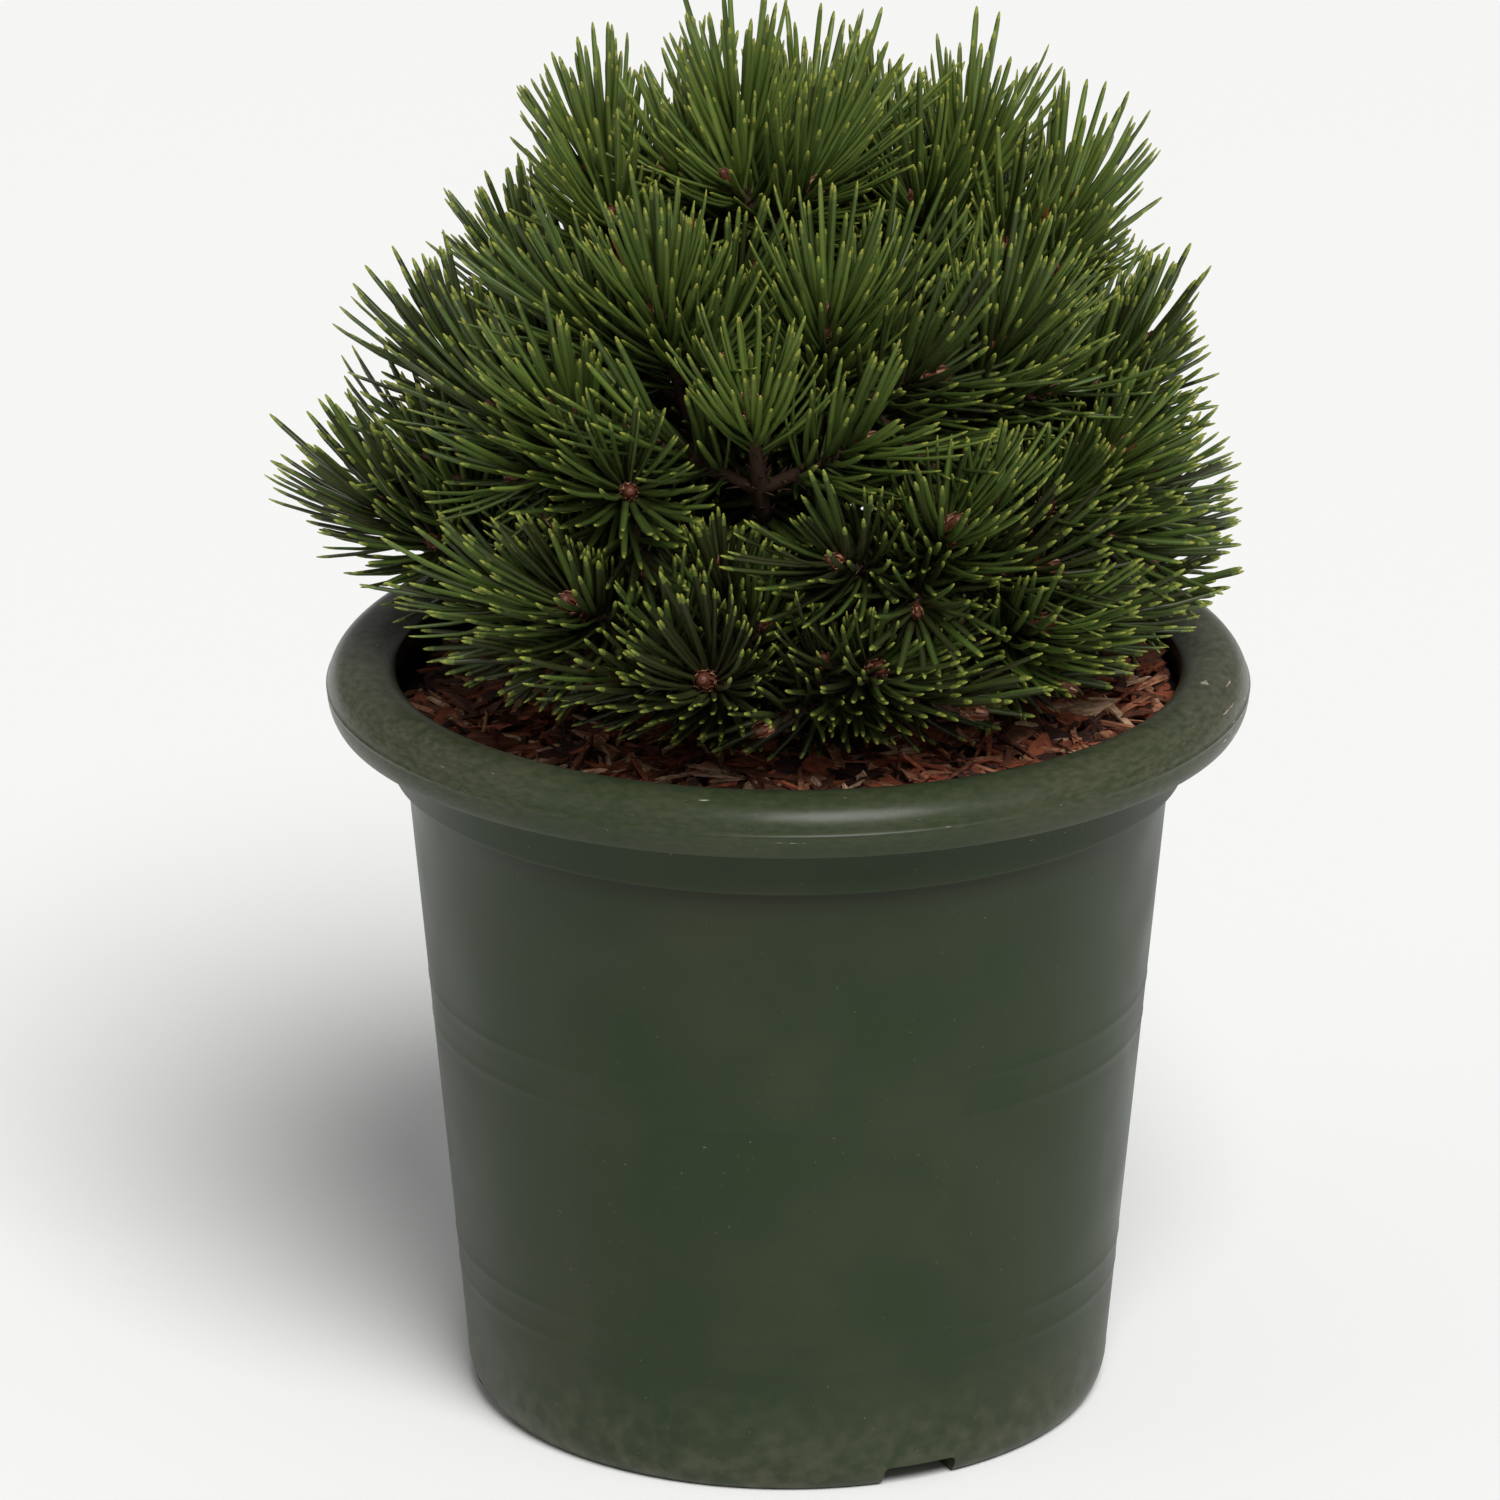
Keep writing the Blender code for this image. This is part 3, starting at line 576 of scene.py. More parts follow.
def sum_of(shapes):
    """Several shapes as one."""
    starts = np.cumsum([0] + [len(s.points) for s in shapes[:-1]])
    return Shape(
        np.concatenate([s.points for s in shapes]),
        np.concatenate([s.corners + start for s, start in zip(shapes, starts)]),
        np.concatenate([s.sizes for s in shapes]),
        np.concatenate([s.materials for s in shapes]),
    )


def object_of(shape, name, materials, smooth):
    """An object with the shape, which was worked out round the pot's axis, and these materials."""
    mesh = bpy.data.meshes.new(name)
    points = shape.points + np.array(POT_AXIS)
    mesh.vertices.add(len(points))
    mesh.vertices.foreach_set("co", points.astype(np.float32).ravel())
    mesh.loops.add(len(shape.corners))
    mesh.loops.foreach_set("vertex_index", shape.corners.astype(np.int32))
    mesh.polygons.add(len(shape.sizes))
    starts = np.concatenate([[0], np.cumsum(shape.sizes)[:-1]])
    mesh.polygons.foreach_set("loop_start", starts.astype(np.int32))
    mesh.polygons.foreach_set("material_index", shape.materials.astype(np.int32))
    mesh.polygons.foreach_set("use_smooth", np.full(len(shape.sizes), smooth))
    mesh.update(calc_edges=True)
    mesh.validate()
    for material in materials:
        mesh.materials.append(material)
    obj = bpy.data.objects.new(name, mesh)
    bpy.context.scene.collection.objects.link(obj)
    return obj


# The pot.


def arc(centre, radius_at, start, end, steps):
    """Points (radius, height) along an arc whose radius depends on its angle, both ends included."""
    turns = [start + (end - start) * i / steps for i in range(steps + 1)]
    return [(centre[0] + radius_at(a) * math.cos(a), centre[1] + radius_at(a) * math.sin(a)) for a in turns]


def wall_radius(height):
    """Outside radius of the tapering wall, without its ridges."""
    share = height / (POT_HEIGHT - COLLAR_DROP)
    return WALL_FOOT_RADIUS + (WALL_TOP_RADIUS - WALL_FOOT_RADIUS) * share


def inner_radius(height, wall):
    """Inside radius of the pot between its floor and its rim."""
    if height < POT_HEIGHT - COLLAR_DROP:
        return wall_radius(height) - wall
    return COLLAR_RADIUS - wall


def wall_rings():
    """The outer wall from its foot corner to its collar, with a low ridge at each ridge height."""
    rings = []
    for height in RIDGE_HEIGHTS:
        for rise, offset in ((0, -4), (0, -1), (1, -0.3), (1, 0.3), (0, 1), (0, 4)):
            level = height + offset * RIDGE_SPREAD
            rings.append((wall_radius(level) + rise * RIDGE_RISE, level))
    return rings


def pot_profile(pot):
    """The pot's section, from the middle of its underside over the rim to the middle of its floor."""
    bead_centre = (RIM_RADIUS - pot.bead, POT_HEIGHT - pot.bead)
    collar_foot = POT_HEIGHT - COLLAR_DROP
    shoulder = POT_HEIGHT - COLLAR_SHOULDER_DROP
    corner_radius = wall_radius(FOOT_CORNER_HEIGHT) - FOOT_CORNER_DEPTH
    foot_inner = corner_radius - FOOT_WIDTH
    inside = lambda angle: pot.bead - pot.wall
    seamed = lambda angle: pot.bead + SEAM_HEIGHT * max(0, 1 - abs(angle - SEAM_ANGLE) / SEAM_SPREAD)
    profile = [
        (HUB_RADIUS, FLOOR_UNDERSIDE),
        (foot_inner - 1.4 * MM, FLOOR_UNDERSIDE),
        (foot_inner - 0.9 * MM, FLOOR_UNDERSIDE - 0.6 * MM),
        (foot_inner, 0.5 * MM),
        (foot_inner + 0.6 * MM, 0),
    ]
    for i in range(FOOT_CORNER_STEPS + 1):
        angle = math.radians(90) * (i / FOOT_CORNER_STEPS - 1)
        profile.append((
            corner_radius + FOOT_CORNER_DEPTH * math.cos(angle),
            FOOT_CORNER_HEIGHT * (1 + math.sin(angle)),
        ))
    profile += wall_rings()
    profile += [
        (WALL_TOP_RADIUS - 0.1 * MM, collar_foot - 1.2 * MM),
        (WALL_TOP_RADIUS + 0.3 * MM, collar_foot - 0.3 * MM),
        (COLLAR_RADIUS - COLLAR_ROUND, collar_foot + 0.2 * MM),
        (COLLAR_RADIUS - 0.3 * COLLAR_ROUND, collar_foot + 0.6 * MM),
        (COLLAR_RADIUS, collar_foot + COLLAR_ROUND + 0.3 * MM),
        (COLLAR_RADIUS, shoulder),
    ]
    profile += arc(bead_centre, inside, BEAD_INSIDE_END, BEAD_LIP_ANGLE, BEAD_INSIDE_STEPS)
    profile += arc(bead_centre, seamed, BEAD_LIP_ANGLE, BEAD_INNER_ANGLE, BEAD_STEPS)
    profile += [
        (COLLAR_RADIUS - pot.wall, shoulder),
        (COLLAR_RADIUS - pot.wall, collar_foot + 1 * MM),
        (WALL_TOP_RADIUS - pot.wall, collar_foot),
        (wall_radius(FLOOR_TOP + 2 * MM) - pot.wall, FLOOR_TOP + 2 * MM),
        (wall_radius(FLOOR_TOP) - pot.wall - 2 * MM, FLOOR_TOP),
        (HUB_RADIUS, FLOOR_TOP),
    ]
    return profile


def turned(profile, segments):
    """A closed shell turned about the world's axis.

    A small filled circle at the profile's first point has its edge extruded from ring to ring, and the
    last ring is filled.
    """
    deselect_all()
    radius, height = profile[0]
    bpy.ops.mesh.primitive_circle_add(
        vertices=segments, radius=radius, fill_type="NGON", location=(0, 0, height)
    )
    shell = bpy.context.object
    bpy.ops.object.mode_set(mode="EDIT")
    bpy.ops.mesh.select_mode(type="EDGE")
    bpy.ops.mesh.select_all(action="SELECT")
    for (before, low), (after, high) in pairs(profile):
        bpy.ops.mesh.extrude_edges_move(TRANSFORM_OT_translate={"value": (0, 0, high - low)})
        widen = after / before
        bpy.ops.transform.resize(value=(widen, widen, 1), center_override=(0, 0, high))
    bpy.ops.mesh.edge_face_add()
    bpy.ops.mesh.select_all(action="SELECT")
    bpy.ops.mesh.normals_make_consistent(inside=False)
    close_edit()
    apply_place(shell)
    return shell


def notch_cutter(azimuth):
    """A rounded block that cuts one notch through the foot ring."""
    deselect_all()
    bpy.ops.mesh.primitive_cube_add(size=1, location=polar(azimuth, NOTCH_CUT_RADIUS, 0))
    cutter = bpy.context.object
    cutter.scale = (NOTCH_CUT_LENGTH, NOTCH_WIDTH, 2 * NOTCH_HEIGHT)
    cutter.rotation_euler.z = azimuth
    apply_place(cutter)
    edit_all(cutter)
    bpy.ops.mesh.bevel(offset=NOTCH_ROUND, segments=4, affect="EDGES")
    close_edit()
    return cutter


def drain_cutter(azimuth):
    """A drill, with a chamfered mouth, for one drain hole."""
    deselect_all()
    bpy.ops.mesh.primitive_cylinder_add(
        vertices=32,
        radius=DRAIN_RADIUS,
        depth=2 * FLOOR_TOP,
        location=polar(azimuth, DRAIN_CIRCLE, FLOOR_TOP),
    )
    cutter = bpy.context.object
    apply_place(cutter)
    return cutter


def make_pot(pot):
    """The moulded pot, with its rolled rim, collar, ridges, foot notches and drain holes."""
    shell = turned(pot_profile(pot), pot.segments)
    azimuths = [math.radians(degrees) for degrees in NOTCH_AZIMUTHS]
    cutter = joined([notch_cutter(a) for a in azimuths] + [drain_cutter(a) for a in azimuths])
    cut = shell.modifiers.new("notches_and_drains", "BOOLEAN")
    cut.operation = "DIFFERENCE"
    cut.object = cutter
    cut.solver = "EXACT"
    apply_modifiers(shell)
    bpy.data.objects.remove(cutter)
    select_only(shell)
    bpy.ops.object.shade_smooth_by_angle(angle=math.radians(34))
    shell.data.materials.clear()
    shell.data.materials.append(satin_polyethylene(pot))
    on_axis(shell)
    deliver(shell, "nursery_pot", ["pot"])


# The mulch.


def mulch_height(x, y):
    """Height of the mulch's bed round the pot's axis."""
    radius = math.hypot(x, y)
    edge = inner_radius(SOIL_EDGE, 1.8 * MM)
    share = max(0, min(1, (radius - SOIL_PATCH) / (edge - SOIL_PATCH)))
    dome = SOIL_CROWN + (SOIL_EDGE - SOIL_CROWN) * share * share
    return dome + SOIL_TILT * (x + SOIL_TILT_BACK * y) / edge * share


def make_bed(pot, mulch):
    """The fines that fill the pot under the chips, lumpy on top."""
    edge = inner_radius(SOIL_EDGE, pot.wall) - SOIL_GAP
    below = POT_HEIGHT - COLLAR_DROP - 2 * MM
    profile = [
        (HUB_RADIUS, SOIL_UNDERSIDE),
        (inner_radius(SOIL_UNDERSIDE, pot.wall) - SOIL_GAP, SOIL_UNDERSIDE),
        (inner_radius(below, pot.wall) - SOIL_GAP, below),
        (edge, POT_HEIGHT - COLLAR_DROP + 2 * MM),
    ]
    for i in range(MULCH_RINGS + 1):
        radius = edge + (HUB_RADIUS - edge) * i / MULCH_RINGS
        profile.append((radius, SOIL_EDGE))
    bed = turned(profile, MULCH_SEGMENTS)
    for vertex in bed.data.vertices:
        x, y, z = vertex.co
        if z > SOIL_EDGE - 1 * MM:
            lump = noise.noise(Vector((x, y, 0)) / (7 * MM)) + 0.5 * noise.noise(Vector((x, y, 1)) / (3 * MM))
            vertex.co.z = mulch_height(x, y) + mulch.lumps * lump
    select_only(bed)
    bpy.ops.object.shade_smooth()
    bed.data.materials.append(bark_chip("wet_bark_fines", mulch.fines))
    on_axis(bed)
    deliver(bed, "mulch_bed", ["soil"])


def chip_shape(seed):
    """One flake of bark in a box of one metre a side: a block with broken ends and an uneven face."""
    deselect_all()
    bpy.ops.mesh.primitive_cube_add(size=1)
    chip = bpy.context.object
    edit_all(chip)
    bpy.ops.mesh.subdivide(number_cuts=1)
    close_edit()
    dice = random.Random(seed)
    lean = dice.uniform(-0.3, 0.3)
    taper = dice.uniform(0.1, 0.6)
    for vertex in chip.data.vertices:
        x, y, z = vertex.co
        y *= 1 - taper * (x + 0.5)
        x += lean * y + 0.12 * dice.uniform(-1, 1)
        y += 0.14 * dice.uniform(-1, 1)
        z += 0.18 * dice.uniform(-1, 1) - 0.5 * x * x
        vertex.co = (x, y, z)
    return Shape.taken_from(chip)


def chip_places(pot, count, lengths, dice):
    """Yields (length, matrix without scale) of chips that lie on the bed inside the pot."""
    edge = inner_radius(SOIL_EDGE, pot.wall)
    for _ in range(count):
        length = math.exp(dice.uniform(math.log(lengths[0]), math.log(lengths[1])))
        limit = edge - 0.52 * length - 0.5 * MM
        place = polar(dice.uniform(0, FULL_TURN), limit * math.sqrt(dice.random()), 0)
        place.z = mulch_height(place.x, place.y) + dice.uniform(-0.6, 2.8) * MM
        steep = 1.2 if dice.random() < 0.3 else 0.5
        turn = Euler((dice.gauss(0, steep / 2), dice.gauss(0, steep / 3), dice.uniform(0, FULL_TURN)))
        yield length, Matrix.Translation(place) @ turn.to_matrix().to_4x4()


def make_chips(pot, mulch):
    """Bark chips and splinters, laid over the bed at random."""
    dice = random.Random(23)
    shapes = [chip_shape(seed) for seed in range(7)]
    colours = (mulch.chip_dark, mulch.chip_brown, mulch.chip_red, mulch.chip_tan, mulch.chip_pale)
    names = ("dark_bark", "brown_bark", "red_bark", "tan_bark", "pale_inner_bark")
    shares = (24, 28, 23, 16, 9)
    materials = [bark_chip(n, c) for n, c in zip(names, colours)]
    made = []
    for length, place in chip_places(pot, mulch.chips, (3.5 * MM, 15 * MM), dice):
        size = (length, length * dice.uniform(0.35, 0.8), dice.uniform(1.0, 2.8) * MM)
        colour = dice.choices(range(len(shares)), shares)[0]
        made.append(dice.choice(shapes).placed(place @ Matrix.Diagonal((*size, 1)), colour))
    for length, place in chip_places(pot, mulch.splinters, (4 * MM, 20 * MM), dice):
        size = (length, dice.uniform(0.8, 1.8) * MM, dice.uniform(0.5, 1.1) * MM)
        colour = dice.choices(range(len(shares)), (10, 25, 25, 25, 15))[0]
        lift = Matrix.Translation((0, 0, 1.2 * MM))
        made.append(dice.choice(shapes).placed(lift @ place @ Matrix.Diagonal((*size, 1)), colour))
    deliver(object_of(sum_of(made), "bark_chips", materials, False), "bark_chips")


# How the plant grows: the rule of its solids.


def along(points, share):
    """The point at a share of the way along a run of points."""
    place = share * (len(points) - 1)
    i = min(int(place), len(points) - 2)
    return points[i].lerp(points[i + 1], place - i)


def distance_to_segment(point, start, end):
    run = end - start
    share = max(0, min(1, (point - start).dot(run) / run.length_squared))
    return (point - start - run * share).length


def nearest(point, segments):
    return min(distance_to_segment(point, a, b) for a, b in segments)


def on_mound(spec):
    """The place of a bud from its azimuth, elevation and share of the mound's reach."""
    azimuth, elevation = math.radians(spec[0]), math.radians(spec[1])
    across = MOUND_RADIUS * math.cos(elevation) * spec[2]
    return polar(azimuth, across, MOUND_BASE + MOUND_RISE * math.sin(elevation) * spec[2])


def leader(spec):
    """(foot, bud) of a mass's leader, which points away from the mound's focus and a little up."""
    bud = on_mound(spec)
    axis = ((bud - SHOOT_FOCUS).normalized() + SHOOT_LIFT * UP).normalized()
    return bud - axis * LEADER_LENGTH, bud


def side_shoot(foot, bud, turn, start_share=SIDE_START, length=SIDE_LENGTH):
    """(start, bud) of a side shoot, which leans off its parent, at a turn round it from straight up."""
    axis = (bud - foot).normalized()
    across = axis.cross(UP)
    across = across.normalized() if across.length > LEAST_SLANT else Vector((1, 0, 0))
    way = Quaternion(axis, turn) @ (Quaternion(across, SIDE_LEAN) @ axis)
    start = foot.lerp(bud, start_share)
    return start, start + way * length


def room_for(shoot, siblings, others):
    """The least distance of a shoot's needle stretch from the other masses' shoots, of its bud from
    its siblings, and of its bud from the mulch and from the furthest reach of the mound."""
    start, bud = shoot
    way = (bud - start).normalized()
    low = bud - way * NEEDLE_ZONE
    high = bud + way * BUD_LENGTH
    samples = [low.lerp(high, i / ROOM_SAMPLES) for i in range(ROOM_SAMPLES + 1)]
    reach = Vector((bud.x / MOUND_RADIUS, bud.y / MOUND_RADIUS, (bud.z - MOUND_BASE) / MOUND_RISE))
    spare = (MOST_REACH - reach.length) * MOUND_RADIUS
    above = bud.z - SOIL_CROWN - LEAST_RISE
    distances = [nearest(p, others) for p in samples]
    if siblings:
        distances.append(nearest(bud, siblings))
    return min(distances + [ROOM_AT_EDGE * spare, ROOM_AT_EDGE * above])


def all_shoots():
    """{mass: [(foot, bud)]}: the leaders, then side shoots that each turn to where there's most room."""
    shoots = {name: [leader(spec)] for name, spec in MASSES.items()}
    for _ in range(SIDE_SHOOTS):
        for name, own in shoots.items():
            others = [s for other, theirs in shoots.items() if other != name for s in theirs]
            turns = [FULL_TURN * i / SIDE_TURNS for i in range(SIDE_TURNS)]
            choices = [side_shoot(*own[0], turn) for turn in turns]
            room, best = max((room_for(c, own[1:], others), i) for i, c in enumerate(choices))
            if room > 2 * CORE_RADIUS + 2 * CLEARANCE:
                own.append(choices[best])
    return shoots


def all_twigs(shoots):
    """{mass: [(start, bud)]}: finer twigs on the side shoots and leaders, by the side shoots' rule."""
    twigs = {name: [] for name in shoots}
    every = [s for own in shoots.values() for s in own]
    for name, own in shoots.items():
        parents = [(shoot, 0.35) for shoot in own[1:]]
        parents += [(own[0], 0.45 + 0.2 * i) for i in range(LEADER_TWIGS)]
        for parent, share in parents:
            turns = [FULL_TURN * (i + 0.5) / SIDE_TURNS for i in range(SIDE_TURNS)]
            choices = [side_shoot(*parent, turn, share, TWIG_LENGTH) for turn in turns]
            rooms = []
            for i, (start, bud) in enumerate(choices):
                reach = Vector((bud.x / MOUND_RADIUS, bud.y / MOUND_RADIUS, (bud.z - MOUND_BASE) / MOUND_RISE))
                spare = ROOM_AT_EDGE * (MOST_REACH - reach.length) * MOUND_RADIUS
                above = ROOM_AT_EDGE * (bud.z - SOIL_CROWN - LEAST_RISE)
                hollow = min(distance_to_segment(bud, a, b) - radius for a, b, radius in HOLLOWS)
                rooms.append((min(nearest(bud, every), spare, above, ROOM_AT_EDGE * hollow), i))
            room, best = max(rooms)
            if room > TWIG_ROOM:
                twigs[name].append(choices[best])
                every.append(choices[best])
    return twigs


def smooth_limb(start, leaving, tip, arriving, count):
    """Points along a cubic from start, leaving one way, to a short straight stub before its tip."""
    end = tip - arriving * LIMB_STUB
    pull = (end - start).length * LIMB_PULL
    controls = (start, start + leaving * pull, end - arriving * pull, end)
    points = []
    for i in range(count - 1):
        t = i / (count - 2)
        weights = ((1 - t) ** 3, 3 * t * (1 - t) ** 2, 3 * t * t * (1 - t), t**3)
        points.append(sum((w * c for w, c in zip(weights, controls)), Vector()))
    return points + [tip]


def trunk_line(count=TRUNK_POINTS):
    """The trunk's centre line, from its foot on the mulch to the top mass's stem."""
    foot = Vector((0, 0, SOIL_CROWN + CLEARANCE))
    top, bud = leader(MASSES[TOP_MASS])
    arriving = (bud - top).normalized()
    upright = Vector((0, 0, 2 * TRUNK_FLARE_HEIGHT))
    rest = smooth_limb(foot + upright, UP, top - arriving * CLEARANCE, arriving, count - 1)
    return [foot] + rest


def trunk_radius(height):
    """The trunk's radius at a height above the mulch."""
    length = MOUND_BASE + MOUND_RISE - LEADER_LENGTH - SOIL_CROWN
    flare = TRUNK_FLARE * math.exp(-height / TRUNK_FLARE_HEIGHT)
    return TRUNK_RADIUS + (TRUNK_TIP_RADIUS - TRUNK_RADIUS) * min(1, height / length) + flare


def bough_line(trunk, share, foot, bud, count=BOUGH_POINTS):
    """A bough's centre line from the trunk's side, at a share of its way up, to the mass's stem."""
    root = along(trunk, share)
    outward = Vector((foot.x - root.x, foot.y - root.y, 0)).normalized()
    leaving = (outward + BOUGH_RISE * UP).normalized()
    arriving = (bud - foot).normalized()
    seat = root + outward * (trunk_radius(root.z - BOUGH_RADIUS - SOIL_CROWN) + CLEARANCE)
    start = seat + outward * ROOT_STUB
    tip = foot - arriving * CLEARANCE
    return [seat] + smooth_limb(start, leaving, tip, arriving, count - 1)


def is_clear(points, segments, radius):
    """True where a bough through the points keeps its gap to segments of that radius."""
    least = BOUGH_RADIUS + radius + BOUGH_GAP
    return not segments or all(nearest(p, segments) > least for p in points)


def bough_shares(shoots):
    """{mass: share of the way up the trunk} where each bough leaves it, found in turn from the lowest."""
    trunk = trunk_line()
    order = sorted((name for name in MASSES if name != TOP_MASS), key=lambda n: shoots[n][0][0].z)
    limbs = []
    shares = {}
    for i, name in enumerate(order):
        own = BOUGH_LOW + (BOUGH_HIGH - BOUGH_LOW) * i / (len(order) - 1)
        stems = [s for other, theirs in shoots.items() if other != name for s in theirs]
        for step in range(BOUGH_TRIES):
            share = own + BOUGH_STEP * ((step + 1) // 2) * (1 if step % 2 else -1)
            share = min(BOUGH_HIGHEST, max(BOUGH_LOWEST, share))
            line = bough_line(trunk, share, *shoots[name][0])
            samples = [along(line, k / BOUGH_SAMPLES) for k in range(BOUGH_SAMPLES + 1)]
            if is_clear(samples, limbs, BOUGH_RADIUS) and is_clear(samples, stems, CORE_RADIUS):
                break
        else:
            raise ValueError(f"no free place on the trunk for the bough to {name}")
        shares[name] = share
        limbs += pairs(line)
    return shares


@functools.cache
def grown():
    """(shoots, twigs, boughs' places on the trunk) of the plant, worked out once."""
    shoots = all_shoots()
    return shoots, all_twigs(shoots), bough_shares(shoots)


# Trunk, boughs and twigs.


def limb(points, radii, sides):
    """A tapering limb: a poly curve with a round bevel, made a mesh."""
    curve = bpy.data.curves.new("limb", "CURVE")
    curve.dimensions = "3D"
    curve.bevel_depth = 1
    curve.bevel_resolution = (sides - 4) // 2
    curve.use_fill_caps = True
    spline = curve.splines.new("POLY")
    spline.points.add(len(points) - 1)
    for target, place, radius in zip(spline.points, points, radii):
        target.co = (*place, 1)
        target.radius = radius
    obj = bpy.data.objects.new("limb", curve)
    bpy.context.scene.collection.objects.link(obj)
    select_only(obj)
    bpy.ops.object.convert(target="MESH")
    return bpy.context.view_layer.objects.active


def make_limbs(limbs):
    """The trunk, whose foot sinks into the mulch, and its boughs, with the bark's relief."""
    shoots, _, places = grown()
    trunk = trunk_line()
    buried = Vector((0, 0, SOIL_CROWN - 8 * MM))
    spine = [buried] + trunk_line(limbs.trunk_rings)
    radii = [trunk_radius(max(0, p.z - SOIL_CROWN)) for p in spine]
    made = [limb(spine, radii, 20)]
    for name, share in places.items():
        line = bough_line(trunk, share, *shoots[name][0], limbs.bough_rings)
        line = [along(trunk, share)] + line + [shoots[name][0][0]]
        widths = [BOUGH_RADIUS + (BOUGH_TIP_RADIUS - BOUGH_RADIUS) * i / (len(line) - 1) for i in range(len(line))]
        made.append(limb(line, widths, 12))
    whole = joined(made)
    edit_all(whole)
    bpy.ops.mesh.remove_doubles(threshold=0.005 * MM)
    bpy.ops.mesh.normals_make_consistent(inside=False)
    close_edit()
    finer = whole.modifiers.new("finer", "SUBSURF")
    finer.levels = finer.render_levels = 1
    plates = bpy.data.textures.new("bark_plates", "VORONOI")
    plates.noise_scale = 3.2 * MM
    relief = whole.modifiers.new("bark_relief", "DISPLACE")
    relief.texture = plates
    relief.texture_coords = "LOCAL"
    relief.strength = limbs.relief
    relief.mid_level = 0.3
    apply_modifiers(whole)
    select_only(whole)
    bpy.ops.object.shade_smooth()
    whole.data.materials.clear()
    whole.data.materials.append(pine_bark(limbs))
    on_axis(whole)
    deliver(whole, "trunk_and_boughs", [n for n in NODES if n == "trunk" or n.startswith("bough_")])


def tube(points, radii, sides):
    """A closed tapering tube through the points."""
    axis = (points[-1] - points[0]).normalized()
    turn = axis.to_track_quat("Z", "Y")
    rings = []
    for point, radius in zip(points, radii):
        for i in range(sides):
            angle = FULL_TURN * i / sides
            rings.append(point + turn @ Vector((math.cos(angle), math.sin(angle), 0)) * radius)
    corners = []
    sizes = []
    for k in range(len(points) - 1):
        for i in range(sides):
            j = (i + 1) % sides
            corners += [k * sides + i, k * sides + j, (k + 1) * sides + j, (k + 1) * sides + i]
            sizes.append(4)
    corners += list(range(sides))[::-1]
    corners += [(len(points) - 1) * sides + i for i in range(sides)]
    sizes += [sides, sides]
    return Shape(np.array(rings), np.array(corners), np.array(sizes), np.zeros(len(sizes), int))


def scale_shape():
    """A scale leaf of one unit's length that stands on its broad end: a block narrowed to a blunt point."""
    deselect_all()
    bpy.ops.mesh.primitive_cube_add(size=1, location=(0, 0, 0.5))
    scale = bpy.context.object
    scale.scale = (0.46, 0.12, 1)
    apply_place(scale)
    edit_where(scale, lambda co: co.z > 0.5)
    bpy.ops.transform.resize(value=(0.25, 0.3, 1), center_override=(0, 0, 1))
    close_edit()
    return Shape.taken_from(scale)


def make_twigs(foliage):
    """Each shoot's own stem, rough with the stumps of old scale leaves below its needles."""
    shoots, twigs, _ = grown()
    dice = random.Random(5)
    scale = scale_shape()
    made = []
    for name, own in shoots.items():
        for i, (foot, bud) in enumerate(own + twigs[name]):
            axis = (bud - foot).normalized()
            thick = SHOOT_RADIUS if i == 0 else 0.82 * SHOOT_RADIUS
            stations = 8
            line = [foot.lerp(bud, k / (stations - 1)) for k in range(stations)]
            widths = [thick * (1 - 0.35 * k / (stations - 1)) * dice.uniform(0.92, 1.1) for k in range(stations)]
            made.append(tube(line, widths, 8))
            turn = axis.to_track_quat("Z", "Y")
            for k in range(foliage.stumps):
                share = (k + 0.5) / foliage.stumps
                around = Quaternion((0, 0, 1), k * GOLDEN_ANGLE)
                lean = Quaternion((1, 0, 0), math.radians(-32))
                radius = thick * (1 - 0.35 * share) * 0.85
                place = foot.lerp(bud, share) + turn @ (around @ Vector((0, radius, 0)))
                matrix = Matrix.Translation(place) @ (turn @ around @ lean).to_matrix().to_4x4()
                length = dice.uniform(2.2, 3.4) * MM
                made.append(scale.placed(matrix @ Matrix.Scale(length, 4), 1))
    materials = [
        dull("rough_young_bark", foliage.twig_colour),
        dull("old_scale_leaves", foliage.stump_colour),
    ]
    deliver(object_of(sum_of(made), "twigs", materials, True), "twigs")


# Needles.


def needle_ways(foot, bud, count, zone, dice):
    """Yields (root, way, sideways) of pairs of needles in a spiral along a shoot, by the solids' rule.

    Low on the shoot a pair stands almost straight out, and near the bud it points forwards.
    """
    axis = (bud - foot).normalized()
    across = axis.orthogonal().normalized()
    turn = dice.uniform(0, FULL_TURN)
    for i in range(count):
        share = (i + 0.5) / count
        root = bud - axis * zone * (1 - share)
        lean = LEAN_AT_FOOT + (LEAN_AT_BUD - LEAN_AT_FOOT) * share
        lean += dice.uniform(-1, 1) * LEAN_SCATTER
        turn += GOLDEN_ANGLE
        sideways = Quaternion(axis, turn) @ across
        yield root, axis * math.cos(lean) + sideways * math.sin(lean), axis.cross(sideways)


def distances(points, segments):
    """Each point's distance from the nearest of some segments, as arrays."""
    starts = np.array([a for a, _ in segments])
    runs = np.array([b for _, b in segments]) - starts
    offsets = points[:, None] - starts
    shares = (offsets * runs).sum(2) / (runs * runs).sum(1)
    away = offsets - np.clip(shares, 0, 1)[..., None] * runs
    return np.sqrt((away * away).sum(2)).min(1)


